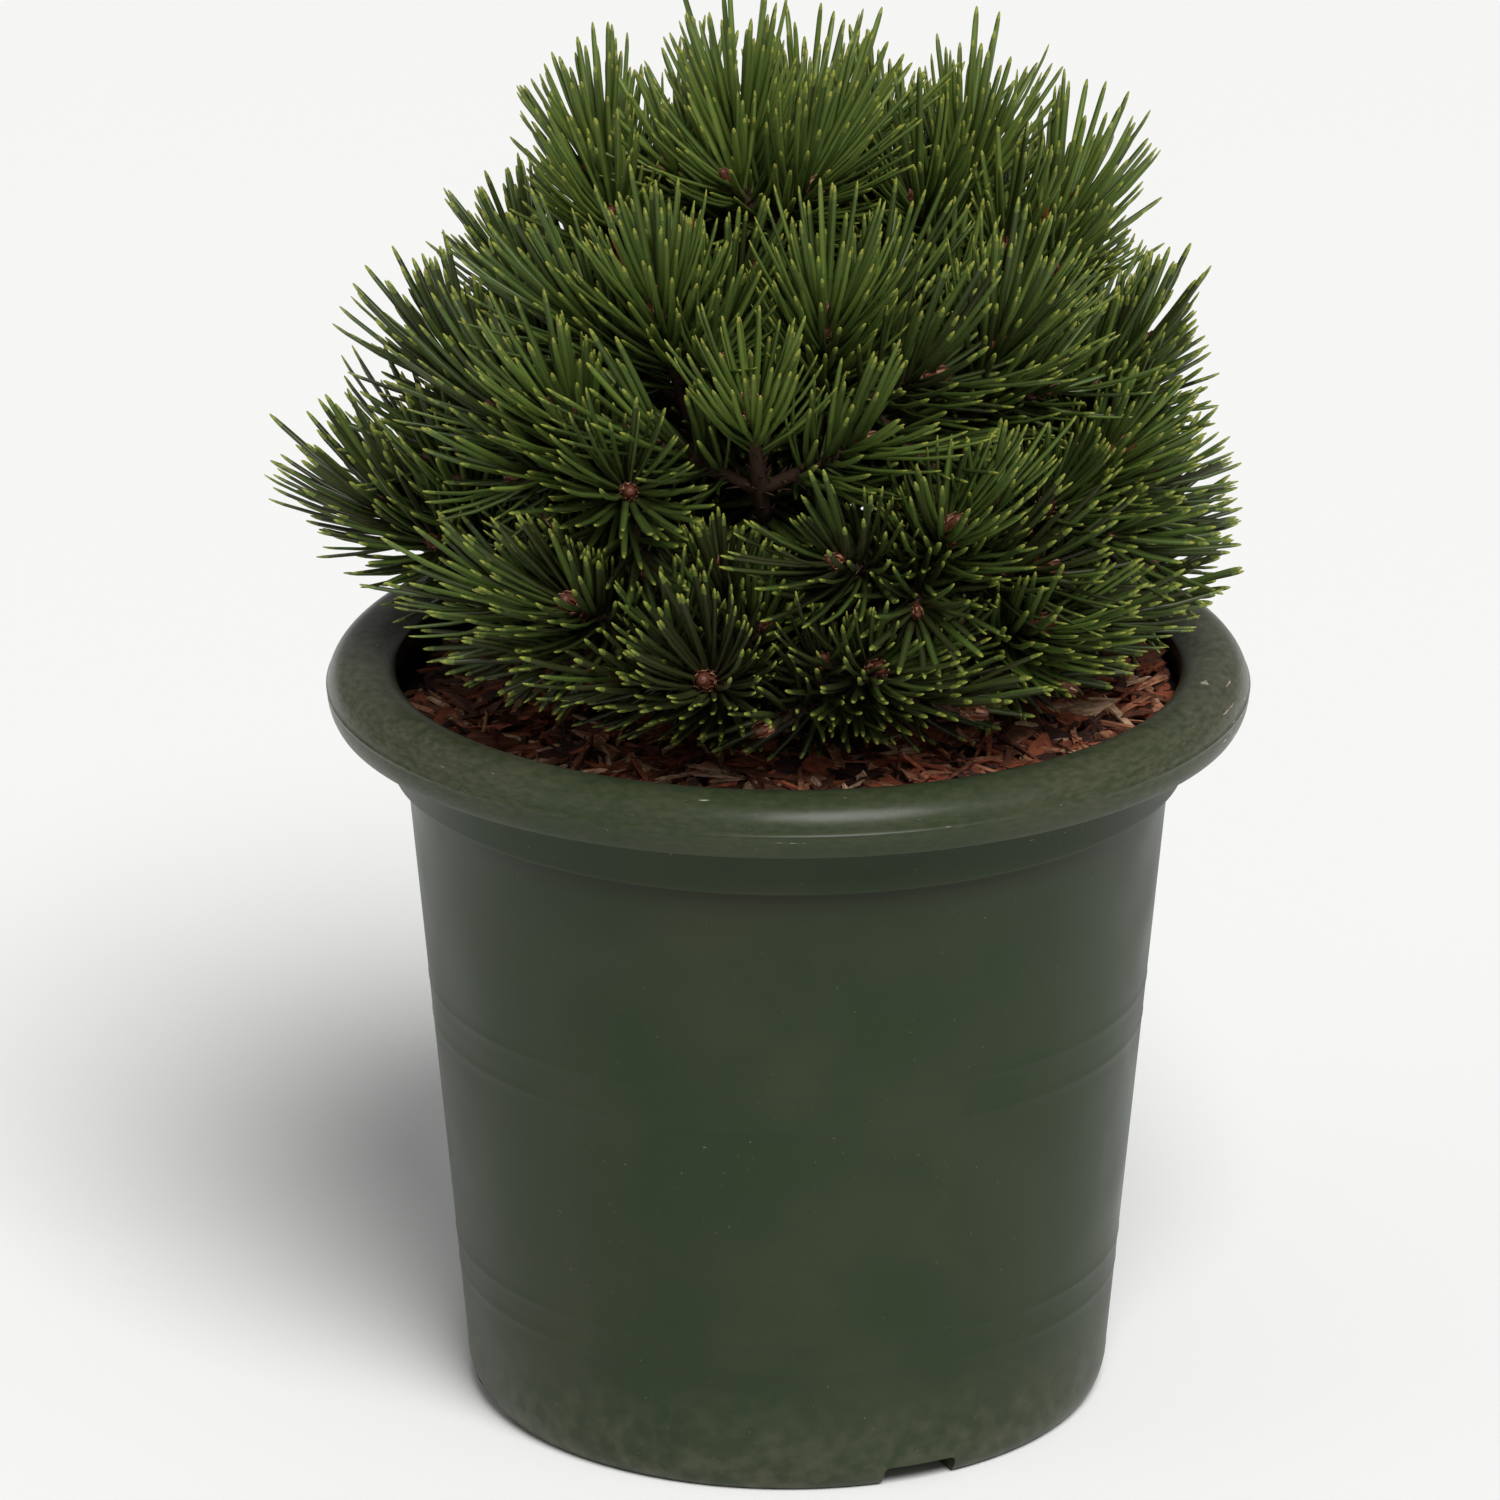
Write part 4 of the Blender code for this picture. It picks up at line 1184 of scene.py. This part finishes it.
def clear_of_pot(points, margin, pot):
    """Where points touch neither the pot nor the mulch's bed, as an array."""
    across = np.hypot(points[..., 0], points[..., 1])
    height = points[..., 2]
    above_hem = height > HEM_HEIGHT + HEM_RISE * np.maximum(0, across / HEM_RADIUS - 1) ** 2
    outside = (height > POT_HEIGHT + margin) | (across > RIM_RADIUS + margin)
    bead = (RIM_RADIUS - pot.bead, POT_HEIGHT - pot.bead)
    off_bead = np.hypot(across - bead[0], height - bead[1]) > pot.bead + margin
    edge = inner_radius(SOIL_EDGE, pot.wall)
    share = np.clip((across - SOIL_PATCH) / (edge - SOIL_PATCH), 0, 1)
    tilt = SOIL_TILT * (points[..., 0] + SOIL_TILT_BACK * points[..., 1]) / edge * share
    mulch = SOIL_CROWN + (SOIL_EDGE - SOIL_CROWN) * share**2 + tilt
    inside = off_bead & (across < edge - margin) & (height > mulch + margin)
    return above_hem & (outside | inside)


def in_outline(tips):
    """Where needles' tips lie inside the crown's outline, as an array."""
    x, y, z = tips.T
    lean = np.clip((z - OUTLINE_LEANS_FROM) / OUTLINE_LEAN_RUN, 0, 1)
    middle = OUTLINE_LOW_X + (OUTLINE_HIGH_X - OUTLINE_LOW_X) * lean
    across = np.hypot(x - middle, y) / OUTLINE_RADIUS
    return across**2 + (np.maximum(0, z - MOUND_BASE) / OUTLINE_RISE) ** 2 < 1


def off_hollows(points):
    """Where runs of points keep out of the hollows, as an array."""
    free = np.full(len(points), True)
    for start, end, radius in HOLLOWS:
        away = distances(points.reshape(-1, 3), [(start, end)]).reshape(points.shape[:2])
        free &= (away > radius).all(1)
    return free


def fitted_lengths(roots, ways, bends, curls, lengths, own, siblings, others, pot):
    """Each needle's length, shortened until it is clear of the pot and keeps to its own shoot, or 0."""
    shares = np.linspace(0.2, 1, 6)
    fitted = np.zeros(len(roots))
    for shorter in SHORTER:
        trial = lengths * shorter
        straight = ways[:, None] * (trial[:, None] * shares)[..., None]
        bent = bends[:, None] * ((trial * curls)[:, None] * shares**2)[..., None]
        points = roots[:, None] + straight + bent
        tips = points[:, -1]
        free = clear_of_pot(points, 1 * MM, pot).all(1) & in_outline(tips) & off_hollows(points)
        reach = distances(tips, own)
        free &= distances(tips, others) > reach - 2 * SPARE_BETWEEN
        if siblings:
            free &= distances(tips, siblings) > reach - 2 * SPARE_IN_MASS
        fitted = np.where((fitted == 0) & free, trial, fitted)
    return fitted


# A needle's sections: shares of its length, of its half width, and the part that each stretch is.
SHEATH, SHADED_LOW_BLADE, BLADE, NEAR_TIP, TIP = range(5)
SECTIONS = (
    (0.00, 0.80, SHEATH),
    (0.09, 1.00, SHADED_LOW_BLADE),
    (0.38, 1.06, BLADE),
    (0.66, 1.00, BLADE),
    (0.90, 0.84, NEAR_TIP),
    (0.955, 0.66, TIP),
    (0.99, 0.34, TIP),
)

# A needle's cross-section, across and through it: flat where it lay against its twin, and round outside.
CROSS_SECTION = ((-1.0, -0.35), (-0.55, 0.62), (0.55, 0.62), (1.0, -0.35))


def needle_shape(roots, ways, bends, curl, lengths, widths, tints):
    """Many needles at once. A tint is a needle's own green; low on its blade it is a shade darker, as painted
    shade near the shoot.
    """
    count = len(roots)
    sides = len(CROSS_SECTION)
    flat = np.cross(ways, bends)
    flat /= np.maximum(np.linalg.norm(flat, axis=1, keepdims=True), 1e-9)
    rings = []
    for share, width, _ in SECTIONS:
        middle = roots + ways * (lengths * share)[:, None] + bends * (lengths * curl * share**2)[:, None]
        tangent = ways + bends * (2 * curl * share)[:, None]
        tangent /= np.linalg.norm(tangent, axis=1, keepdims=True)
        through = np.cross(tangent, flat)
        for across, depth in CROSS_SECTION:
            rings.append(middle + (flat * across + through * depth) * (widths * width)[:, None])
    rings.append(roots + ways * lengths[:, None] + bends * (lengths * curl)[:, None])
    per = len(rings)
    points = np.stack(rings, 1).reshape(-1, 3)
    quads = []
    materials = []
    for k, (_, _, part) in enumerate(SECTIONS[:-1]):
        for i in range(sides):
            j = (i + 1) % sides
            quads.append([k * sides + i, k * sides + j, (k + 1) * sides + j, (k + 1) * sides + i])
            materials.append(part)
    quads.append([3, 2, 1, 0])
    materials.append(SHEATH)
    last = (len(SECTIONS) - 1) * sides
    triangles = [[last + i, last + (i + 1) % sides, per - 1] for i in range(sides)]
    materials += [TIP] * sides
    one = np.concatenate([np.ravel(quads), np.ravel(triangles)])
    starts = np.arange(count)[:, None] * per
    parts = np.tile(materials, (count, 1))
    fixed = np.array([SHEATH_COLOUR, 0, 0, NEAR_TIP_COLOUR, TIP_COLOUR])[parts]
    # Low on the blade the green is one step darker: painted shade near the shoot.
    darker = np.where(tints > FIRST_GREEN, tints - 1, tints)
    dealt = np.where(parts == BLADE, tints[:, None], fixed)
    dealt = np.where(parts == SHADED_LOW_BLADE, darker[:, None], dealt)
    sizes = np.tile([4] * len(quads) + [3] * len(triangles), count)
    return Shape(points, (one + starts).ravel(), sizes, dealt.ravel())


SHEATH_COLOUR, NEAR_TIP_COLOUR, TIP_COLOUR, DRY_COLOUR, FIRST_GREEN = range(5)
GREENS = 6


def needle_materials(foliage):
    """Plain colours: the sheath, the tip and the greens that are dealt out by spray."""
    greens = [getattr(foliage, f"green_{i + 1}") for i in range(GREENS)]
    made = [
        needle_wax("needle_sheath", foliage.sheath_colour, 0.7),
        needle_wax("needle_near_tip", foliage.near_tip_colour, 0.5),
        needle_wax("needle_tip", foliage.tip_colour, 0.5),
        needle_wax("needle_dried_on_the_twig", foliage.dry_colour, 0.7),
    ]
    return made + [needle_wax(f"needle_green_{i + 1}", colour) for i, colour in enumerate(greens)]


def green_of_spray(bud, dice):
    """A spray's green: dark and brownish low in the crown, light at its top, with some chance. The change with
    height is partly the needles' age, partly painted shade low down and painted light at the top.
    """
    rise = (bud.z - MOUND_BASE) / MOUND_RISE
    return (GREENS - 1) * (0.08 + 0.86 * max(0, min(1, rise))) + dice.gauss(0, 0.8)


def needles_on(shoot, count, length, old, foliage, dice):
    """(roots, ways, bends, curls, lengths, widths, tints) of the needles on one shoot, as arrays.

    They stand out from the shoot and curl up and forwards, most of all the low ones, which are older
    and shorter.
    """
    foot, bud = shoot
    axis = (bud - foot).normalized()
    lift = foliage.lift * max(0, axis.z)
    risen = max(0, min(1, (bud.z - SWEEP_FROM) / SWEEP_RUN))
    rising = (axis + (2 * lift + foliage.sweep * risen) * UP).normalized()
    zone = (bud - foot).length if old else min(NEEDLE_ZONE, 0.85 * (bud - foot).length)
    splay = math.tan(math.radians(foliage.pair_angle / 2))
    spray = green_of_spray(bud, dice) - (1.5 if old else 0)
    rows = []
    for root, way, tangent in needle_ways(foot, bud, count, zone, dice):
        age = (bud - root).length / zone
        for side in (-1, 1):
            direction = (way + tangent * side * splay + lift * UP).normalized()
            aside = rising - direction * rising.dot(direction)
            curl = foliage.curl * aside.length * dice.uniform(0.55, 1.4)
            full = length * (1 - 0.24 * age) * (1 + LENGTH_SCATTER * dice.uniform(-1, 1))
            width = foliage.needle_width / 2 * dice.uniform(0.88, 1.1)
            tint = FIRST_GREEN + max(0, min(GREENS - 1, round(spray + dice.gauss(0, 0.9))))
            if dice.random() < foliage.dry_share * age:
                tint = DRY_COLOUR
            rows.append((root, direction, aside.normalized(), curl, full, width, tint))
    return [np.array(column) for column in zip(*rows)]


def grow_needles(name, foliage, pot):
    """The needles of one mass: on its leader, side shoots and twigs, and on the end of its bough."""
    shoots, twigs, places = grown()
    family = shoots[name] + twigs[name]
    kinds = [(foliage.pairs_on_leader, 1, False)]
    kinds += [(foliage.pairs_on_side, 1, False)] * (len(shoots[name]) - 1)
    kinds += [(foliage.pairs_on_twig, 0.8, False)] * len(twigs[name])
    if name in places:
        bough = bough_line(trunk_line(), places[name], *shoots[name][0])
        family.append((along(bough, OLD_WOOD_FROM), bough[-1]))
        kinds.append((foliage.pairs_on_bough, 0.8, True))
    others = [s for other in shoots if other != name for s in shoots[other] + twigs[other]]
    dice = random.Random(f"needle pairs of {name}")
    made = []
    for i, (shoot, (count, size, old)) in enumerate(zip(family, kinds)):
        needles = needles_on(shoot, count, foliage.needle_length * size, old, foliage, dice)
        roots, ways, bends, curls, lengths = needles[:5]
        siblings = family[:i] + family[i + 1 :]
        needles[4] = fitted_lengths(roots, ways, bends, curls, lengths, [shoot], siblings, others, pot)
        kept = needles[4] > 0
        made.append(needle_shape(*(column[kept] for column in needles)))
    return sum_of(made)


def make_needles(foliage, pot):
    """All needles, joined from the top of the crown down into pieces of like size."""
    materials = needle_materials(foliage)
    order = sorted(MASSES, key=lambda name: -MASSES[name][1])
    groups = {"top": order[:6], "upper": order[6:12], "middle": order[12:18], "foot": order[18:]}
    for tier, names in groups.items():
        shape = sum_of([grow_needles(name, foliage, pot) for name in names])
        piece = object_of(shape, f"needles_{tier}", materials, True)
        deliver(piece, f"needles_{tier}", [f"foliage_{name}" for name in names])


def make_fallen_needles(foliage):
    """Dry needles that have dropped onto the mulch."""
    dice = random.Random(41)
    roots, ways, bends, lengths = [], [], [], []
    for i in range(foliage.fallen):
        azimuth = math.radians(-93 if i < 3 else dice.uniform(-180, 180))
        radius = (78 if i < 3 else dice.uniform(45, 82)) * MM
        root = polar(azimuth, radius, 0)
        root.z = mulch_height(root.x, root.y) + dice.uniform(2.4, 3.6) * MM
        heading = dice.uniform(0, FULL_TURN)
        way = polar(heading, 1, dice.uniform(-0.05, 0.06)).normalized()
        length = foliage.needle_length * dice.uniform(0.8, 1)
        tip = root + way * length
        if math.hypot(tip.x, tip.y) > inner_radius(SOIL_EDGE, 1.8 * MM) - 2 * MM:
            way = -way
        roots.append(root)
        ways.append(way)
        bends.append(way.cross(UP).normalized())
        lengths.append(length)
    count = len(roots)
    shape = needle_shape(
        np.array(roots),
        np.array(ways),
        np.array(bends),
        np.full(count, 0.1),
        np.array(lengths),
        np.full(count, foliage.needle_width / 2),
        np.array([DRY_COLOUR + i % 2 for i in range(count)]),
    )
    materials = [
        needle_wax("dry_sheath", foliage.sheath_colour, 0.8),
        needle_wax("dry_near_tip", foliage.dry_colour, 0.8),
        needle_wax("dry_tip", foliage.dry_pale, 0.8),
        needle_wax("dry_needle", foliage.dry_colour, 0.75),
        needle_wax("bleached_needle", foliage.dry_pale, 0.75),
    ]
    deliver(object_of(shape, "fallen_needles", materials, True), "fallen_needles")


# Buds.


def bud_shape(foliage):
    """One resting bud: a pointed core under overlapping scales, with its foot at the origin."""
    deselect_all()
    half = BUD_LENGTH / 2
    bpy.ops.mesh.primitive_uv_sphere_add(segments=10, ring_count=7, radius=1, location=(0, 0, half))
    core = bpy.context.object
    core.scale = (foliage.bud_width / 2, foliage.bud_width / 2, half)
    apply_place(core)
    edit_where(core, lambda co: co.z > half)
    bpy.ops.transform.resize(value=(0.82, 0.82, 1), center_override=(0, 0, half))
    close_edit()
    parts = [Shape.taken_from(core)]
    scale = scale_shape()
    for i in range(foliage.bud_scales):
        share = (i + 0.5) / foliage.bud_scales
        height = BUD_LENGTH * (0.02 + 0.72 * share)
        radius = foliage.bud_width / 2 * math.sqrt(max(0.05, 1 - (2 * height / BUD_LENGTH - 1) ** 2)) * 0.86
        around = Quaternion((0, 0, 1), i * GOLDEN_ANGLE)
        lean = Quaternion((1, 0, 0), math.radians(-24 + 34 * share))
        place = around @ Vector((0, radius, height))
        matrix = Matrix.Translation(place) @ (around @ lean).to_matrix().to_4x4()
        length = (3.6 - 1.3 * share) * MM
        parts.append(scale.placed(matrix @ Matrix.Scale(length, 4), 1 if i % 3 else 2))
    return sum_of(parts)


def make_buds(foliage):
    """A bud on every shoot, and two smaller ones beside each leader's."""
    shoots, twigs, _ = grown()
    dice = random.Random(8)
    bud = bud_shape(foliage)
    made = []
    for name, own in shoots.items():
        for i, (foot, tip) in enumerate(own + twigs[name]):
            axis = (tip - foot).normalized()
            turn = axis.to_track_quat("Z", "Y")
            size = (1.2 if i == 0 else 0.98 if i < len(own) else 0.72) * dice.uniform(0.9, 1.08)
            base = tip - axis * 1 * MM
            matrix = Matrix.Translation(base) @ turn.to_matrix().to_4x4() @ Matrix.Scale(size, 4)
            made.append(bud.placed(matrix))
            if i:
                continue
            spin = dice.uniform(0, FULL_TURN)
            for side in (0, 0.45 * FULL_TURN):
                tilt = Quaternion((0, 0, 1), spin + side) @ Quaternion((1, 0, 0), math.radians(38))
                beside = (turn @ tilt).to_matrix().to_4x4() @ Matrix.Scale(0.62 * size, 4)
                made.append(bud.placed(Matrix.Translation(base) @ beside))
    materials = [
        bud_scale("resinous_bud", foliage.bud_colour),
        bud_scale("red_brown_scales", foliage.scale_colour),
        bud_scale("pale_scale_fringes", foliage.fringe_colour),
    ]
    deliver(object_of(sum_of(made), "buds", materials, False), "buds")


# The stage.


def add_light(name, place, size, power, colour, aim):
    """A square soft light that faces its aim and doesn't show itself."""
    light = bpy.data.lights.new(name, "AREA")
    light.size = size
    light.energy = power
    light.color = colour
    obj = bpy.data.objects.new(name, light)
    bpy.context.scene.collection.objects.link(obj)
    obj.location = place
    obj.rotation_mode = "QUATERNION"
    obj.rotation_quaternion = (aim - place).to_track_quat("-Z", "Y")
    obj.visible_camera = False


def make_stage(stage):
    """A plain pale floor, soft studio light and the camera at the photograph's angle."""
    deselect_all()
    bpy.ops.mesh.primitive_plane_add(size=30)
    floor = bpy.context.object
    floor.name = "floor"
    floor.data.materials.append(dull("pale_studio_paper", stage.floor_colour, 0.85))

    aim = POT_AXIS + Vector((0, 0, 0.2))
    add_light("left", Vector((-1.45, -0.65, 1.15)), 0.8, stage.left_power, (1, 0.99, 0.96), aim)
    add_light("right", Vector((1.35, -0.85, 1.35)), 0.9, stage.right_power, (1, 0.99, 0.96), aim)
    overhead = bpy.data.lights.new("overhead", "SUN")
    overhead.energy = stage.overhead
    overhead.angle = math.radians(30)
    panel = bpy.data.objects.new("overhead", overhead)
    bpy.context.scene.collection.objects.link(panel)
    panel.rotation_euler = (math.radians(36), math.radians(14), 0)

    world = bpy.data.worlds.new("pale_room")
    world.use_nodes = True
    background = world.node_tree.nodes["Background"]
    background.inputs["Color"].default_value = (*stage.room_colour, 1)
    background.inputs["Strength"].default_value = stage.room_strength
    bpy.context.scene.world = world
    bpy.context.scene.view_settings.view_transform = "Standard"

    lens = bpy.data.cameras.new("camera")
    lens.lens = stage.focal_length
    lens.clip_end = 50
    camera = bpy.data.objects.new("camera", lens)
    bpy.context.scene.collection.objects.link(camera)
    camera.location = POT_AXIS + Vector((0, -stage.camera_back, stage.camera_height))
    camera.rotation_euler = (math.radians(90) - stage.camera_tilt, 0, stage.camera_turn)
    bpy.context.scene.camera = camera


# Settings that a user would change.


def length_property(name, description, default):
    return FloatProperty(name=name, description=description, default=default, unit="LENGTH", precision=4)


def colour_property(name, description, hex_colour):
    return FloatVectorProperty(
        name=name, description=description, default=linear(hex_colour), subtype="COLOR", min=0, max=1
    )


class PotSettings(bpy.types.PropertyGroup):
    """The nursery pot."""

    segments: IntProperty(name="Segments", description="Facets round the pot", default=192, min=24)
    wall: length_property("Wall", "Thickness of the moulded wall", 1.8 * MM)
    bead: length_property("Rim bead", "Radius of the rolled rim's section", 9.2 * MM)
    colour: colour_property("Plastic", "Colour of clean plastic", "#26331e")
    faded: colour_property("Faded", "Colour where the plastic has paled", "#373b2a")
    dust: colour_property("Dust", "Dried grit and splashes", "#706b58")
    # Pale colour of the rim's dust streaks, which at the rim's sides also stand for painted highlight.
    scuff_and_highlight_colour: colour_property("Scuffs", "Rubbed places on the rim", "#7a725f")
    scratches: colour_property("Scratches", "Where the rim was knocked", "#b5ab93")
    # Dark brown for painted shade: under the collar and on the inner wall, tinted like a mulch stain.
    shade_and_stain: colour_property("Stain", "Mulch stain on the inner wall", "#1b120d")


class MulchSettings(bpy.types.PropertyGroup):
    """The bark mulch."""

    chips: IntProperty(name="Chips", description="Number of bark chips", default=1700, min=0)
    splinters: IntProperty(name="Splinters", description="Number of thin splinters", default=1300, min=0)
    lumps: length_property("Lumps", "Unevenness of the bed", 1.6 * MM)
    fines: colour_property("Fines", "Wet fines between the chips", "#2f1a12")
    chip_dark: colour_property("Dark chips", "Outer bark", "#46281d")
    chip_brown: colour_property("Brown chips", "Middle bark", "#74432e")
    chip_red: colour_property("Red chips", "Freshly broken bark", "#a4583a")
    chip_tan: colour_property("Tan chips", "Dry bark", "#c58663")
    chip_pale: colour_property("Pale chips", "Inner bark and wood", "#dcb38f")


class LimbSettings(bpy.types.PropertyGroup):
    """The trunk and boughs."""

    trunk_rings: IntProperty(name="Trunk rings", description="Rings along the trunk", default=44, min=9)
    bough_rings: IntProperty(name="Bough rings", description="Rings along a bough", default=22, min=6)
    relief: length_property("Relief", "Depth of the bark's plates", 0.9 * MM)
    colour: colour_property("Bark", "Bark in the shade", "#4b382e")
    pale: colour_property("Weathered bark", "Raised plates", "#7d6a5b")
    cracks: colour_property("Cracks", "Between the plates", "#241811")


class FoliageSettings(bpy.types.PropertyGroup):
    """The shoots, needles and buds."""

    needle_length: length_property("Needle length", "Length of a full needle", 37 * MM)
    needle_width: length_property("Needle width", "Width of a needle across its flat side", 1.65 * MM)
    pair_angle: FloatProperty(name="Pair angle", description="Degrees between twins", default=15)
    curl: FloatProperty(name="Curl", description="Most bend, as a share of a needle's length", default=0.25)
    sweep: FloatProperty(name="Sweep", description="How far needles high in the crown bend up", default=0.9)
    lift: FloatProperty(name="Lift", description="How far needles turn up from their shoot", default=0.28)
    pairs_on_leader: IntProperty(name="Pairs on a leader", description="Needle pairs", default=62, min=1)
    pairs_on_side: IntProperty(name="Pairs on a side shoot", description="Needle pairs", default=42, min=1)
    pairs_on_twig: IntProperty(name="Pairs on a twig", description="Needle pairs", default=18, min=1)
    pairs_on_bough: IntProperty(name="Pairs on a bough", description="Old needle pairs", default=34, min=1)
    stumps: IntProperty(name="Scale stumps", description="Old scale leaves on a shoot", default=26, min=0)
    fallen: IntProperty(name="Fallen needles", description="Dry needles on the mulch", default=16, min=1)
    bud_width: length_property("Bud width", "Thickness of a large bud", 5 * MM)
    bud_scales: IntProperty(name="Bud scales", description="Scales on a bud", default=26, min=1)
    # The greens run from dark and brownish, dealt low in the crown, to light, dealt at its top: partly the
    # needles' age, partly painted shade low down and painted light at the top.
    green_1: colour_property("Green 1", "Oldest needles, low and brownish", "#313519")
    green_2: colour_property("Green 2", "Needles in the shade", "#37411d")
    green_3: colour_property("Green 3", "Dark needles", "#3f4e20")
    green_4: colour_property("Green 4", "Common needles", "#4a5c26")
    green_5: colour_property("Green 5", "Light needles", "#576a2c")
    green_6: colour_property("Green 6", "Youngest needles", "#667934")
    near_tip_colour: colour_property("Near the tip", "Where the green turns yellow", "#61702c")
    tip_colour: colour_property("Tips", "Horny points of the needles", "#888c36")
    dry_share: FloatProperty(name="Dry share", description="Share of old needles gone brown", default=0.006)
    sheath_colour: colour_property("Sheaths", "Sheath at the foot of a pair", "#4a3826")
    twig_colour: colour_property("Twigs", "Young bark", "#4a3424")
    stump_colour: colour_property("Stumps", "Old scale leaves", "#5d4433")
    bud_colour: colour_property("Buds", "Buds under their scales", "#603323")
    scale_colour: colour_property("Bud scales", "Scales of the buds", "#824f38")
    fringe_colour: colour_property("Scale fringes", "Pale resinous scales", "#bf8f72")
    dry_colour: colour_property("Dry needles", "Fallen needles", "#98552c")
    dry_pale: colour_property("Bleached needles", "Old fallen needles", "#b98a5a")


class StageSettings(bpy.types.PropertyGroup):
    """Floor, light and camera."""

    floor_colour: colour_property("Floor", "Studio paper", "#f6f6f4")
    room_colour: colour_property("Room", "Light from all round", "#f4f5f6")
    room_strength: FloatProperty(name="Room light", description="Strength from all round", default=0.28)
    left_power: FloatProperty(name="Left", description="Soft light at the left, in watts", default=1.2)
    right_power: FloatProperty(name="Right", description="Soft light at the right, in watts", default=1.7)
    overhead: FloatProperty(name="Overhead", description="Wide light from above, in W/m2", default=3.0)
    focal_length: FloatProperty(name="Lens", description="Focal length in mm", default=249.2)
    camera_back: length_property("Back", "Camera's distance in front of the pot's axis", 2.441)
    camera_height: length_property("Height", "Camera's height over the floor", 1.050)
    camera_tilt: FloatProperty(name="Tilt", description="Camera's tilt down", default=0.347, unit="ROTATION")
    camera_turn: FloatProperty(name="Turn", description="Camera's turn", default=0.0039, unit="ROTATION")


# Operators and panel.


class PINE_OT_pot(bpy.types.Operator):
    """Make the moulded nursery pot"""

    bl_idname = "pine.pot"
    bl_label = "Nursery Pot"

    def execute(self, context):
        make_pot(context.scene.pine_pot)
        return {"FINISHED"}


class PINE_OT_mulch(bpy.types.Operator):
    """Fill the pot and lay bark chips on top"""

    bl_idname = "pine.mulch"
    bl_label = "Bark Mulch"

    def execute(self, context):
        make_bed(context.scene.pine_pot, context.scene.pine_mulch)
        make_chips(context.scene.pine_pot, context.scene.pine_mulch)
        return {"FINISHED"}


class PINE_OT_limbs(bpy.types.Operator):
    """Grow the trunk and its boughs with the bark's relief"""

    bl_idname = "pine.limbs"
    bl_label = "Trunk and Boughs"

    def execute(self, context):
        make_limbs(context.scene.pine_limbs)
        return {"FINISHED"}


class PINE_OT_shoots(bpy.types.Operator):
    """Grow the stems and buds of the shoots and twigs"""

    bl_idname = "pine.shoots"
    bl_label = "Shoots and Buds"

    def execute(self, context):
        make_twigs(context.scene.pine_foliage)
        make_buds(context.scene.pine_foliage)
        return {"FINISHED"}


class PINE_OT_needles(bpy.types.Operator):
    """Grow the needles, and scatter a few dry ones on the mulch"""

    bl_idname = "pine.needles"
    bl_label = "Needles"

    def execute(self, context):
        make_needles(context.scene.pine_foliage, context.scene.pine_pot)
        make_fallen_needles(context.scene.pine_foliage)
        return {"FINISHED"}


class PINE_OT_stage(bpy.types.Operator):
    """Set up the floor, the lights and the camera"""

    bl_idname = "pine.stage"
    bl_label = "Stage"

    def execute(self, context):
        make_stage(context.scene.pine_stage)
        return {"FINISHED"}


class PINE_PT_sidebar(bpy.types.Panel):
    """The operators, each over its settings"""

    bl_idname = "PINE_PT_sidebar"
    bl_label = "Potted Pine"
    bl_space_type = "VIEW_3D"
    bl_region_type = "UI"
    bl_category = "Potted Pine"

    def draw(self, context):
        for operators, group in PANEL_ROWS:
            box = self.layout.box()
            for operator in operators:
                box.operator(operator.bl_idname)
            settings = getattr(context.scene, group)
            for name in settings.__annotations__:
                box.prop(settings, name)


SETTINGS = {
    "pine_pot": PotSettings,
    "pine_mulch": MulchSettings,
    "pine_limbs": LimbSettings,
    "pine_foliage": FoliageSettings,
    "pine_stage": StageSettings,
}
PANEL_ROWS = (
    ((PINE_OT_pot,), "pine_pot"),
    ((PINE_OT_mulch,), "pine_mulch"),
    ((PINE_OT_limbs,), "pine_limbs"),
    ((PINE_OT_shoots, PINE_OT_needles), "pine_foliage"),
    ((PINE_OT_stage,), "pine_stage"),
)
OPERATORS = tuple(operator for operators, _ in PANEL_ROWS for operator in operators)


def register():
    for cls in (*SETTINGS.values(), *OPERATORS, PINE_PT_sidebar):
        bpy.utils.register_class(cls)
    for name, group in SETTINGS.items():
        setattr(bpy.types.Scene, name, PointerProperty(type=group))


def unregister():
    for name in SETTINGS:
        delattr(bpy.types.Scene, name)
    for cls in (PINE_PT_sidebar, *reversed(OPERATORS), *SETTINGS.values()):
        bpy.utils.unregister_class(cls)


def main():
    register()
    bpy.ops.pine.stage()
    bpy.ops.pine.pot()
    bpy.ops.pine.mulch()
    bpy.ops.pine.limbs()
    bpy.ops.pine.shoots()
    bpy.ops.pine.needles()


if __name__ == "__main__":
    main()
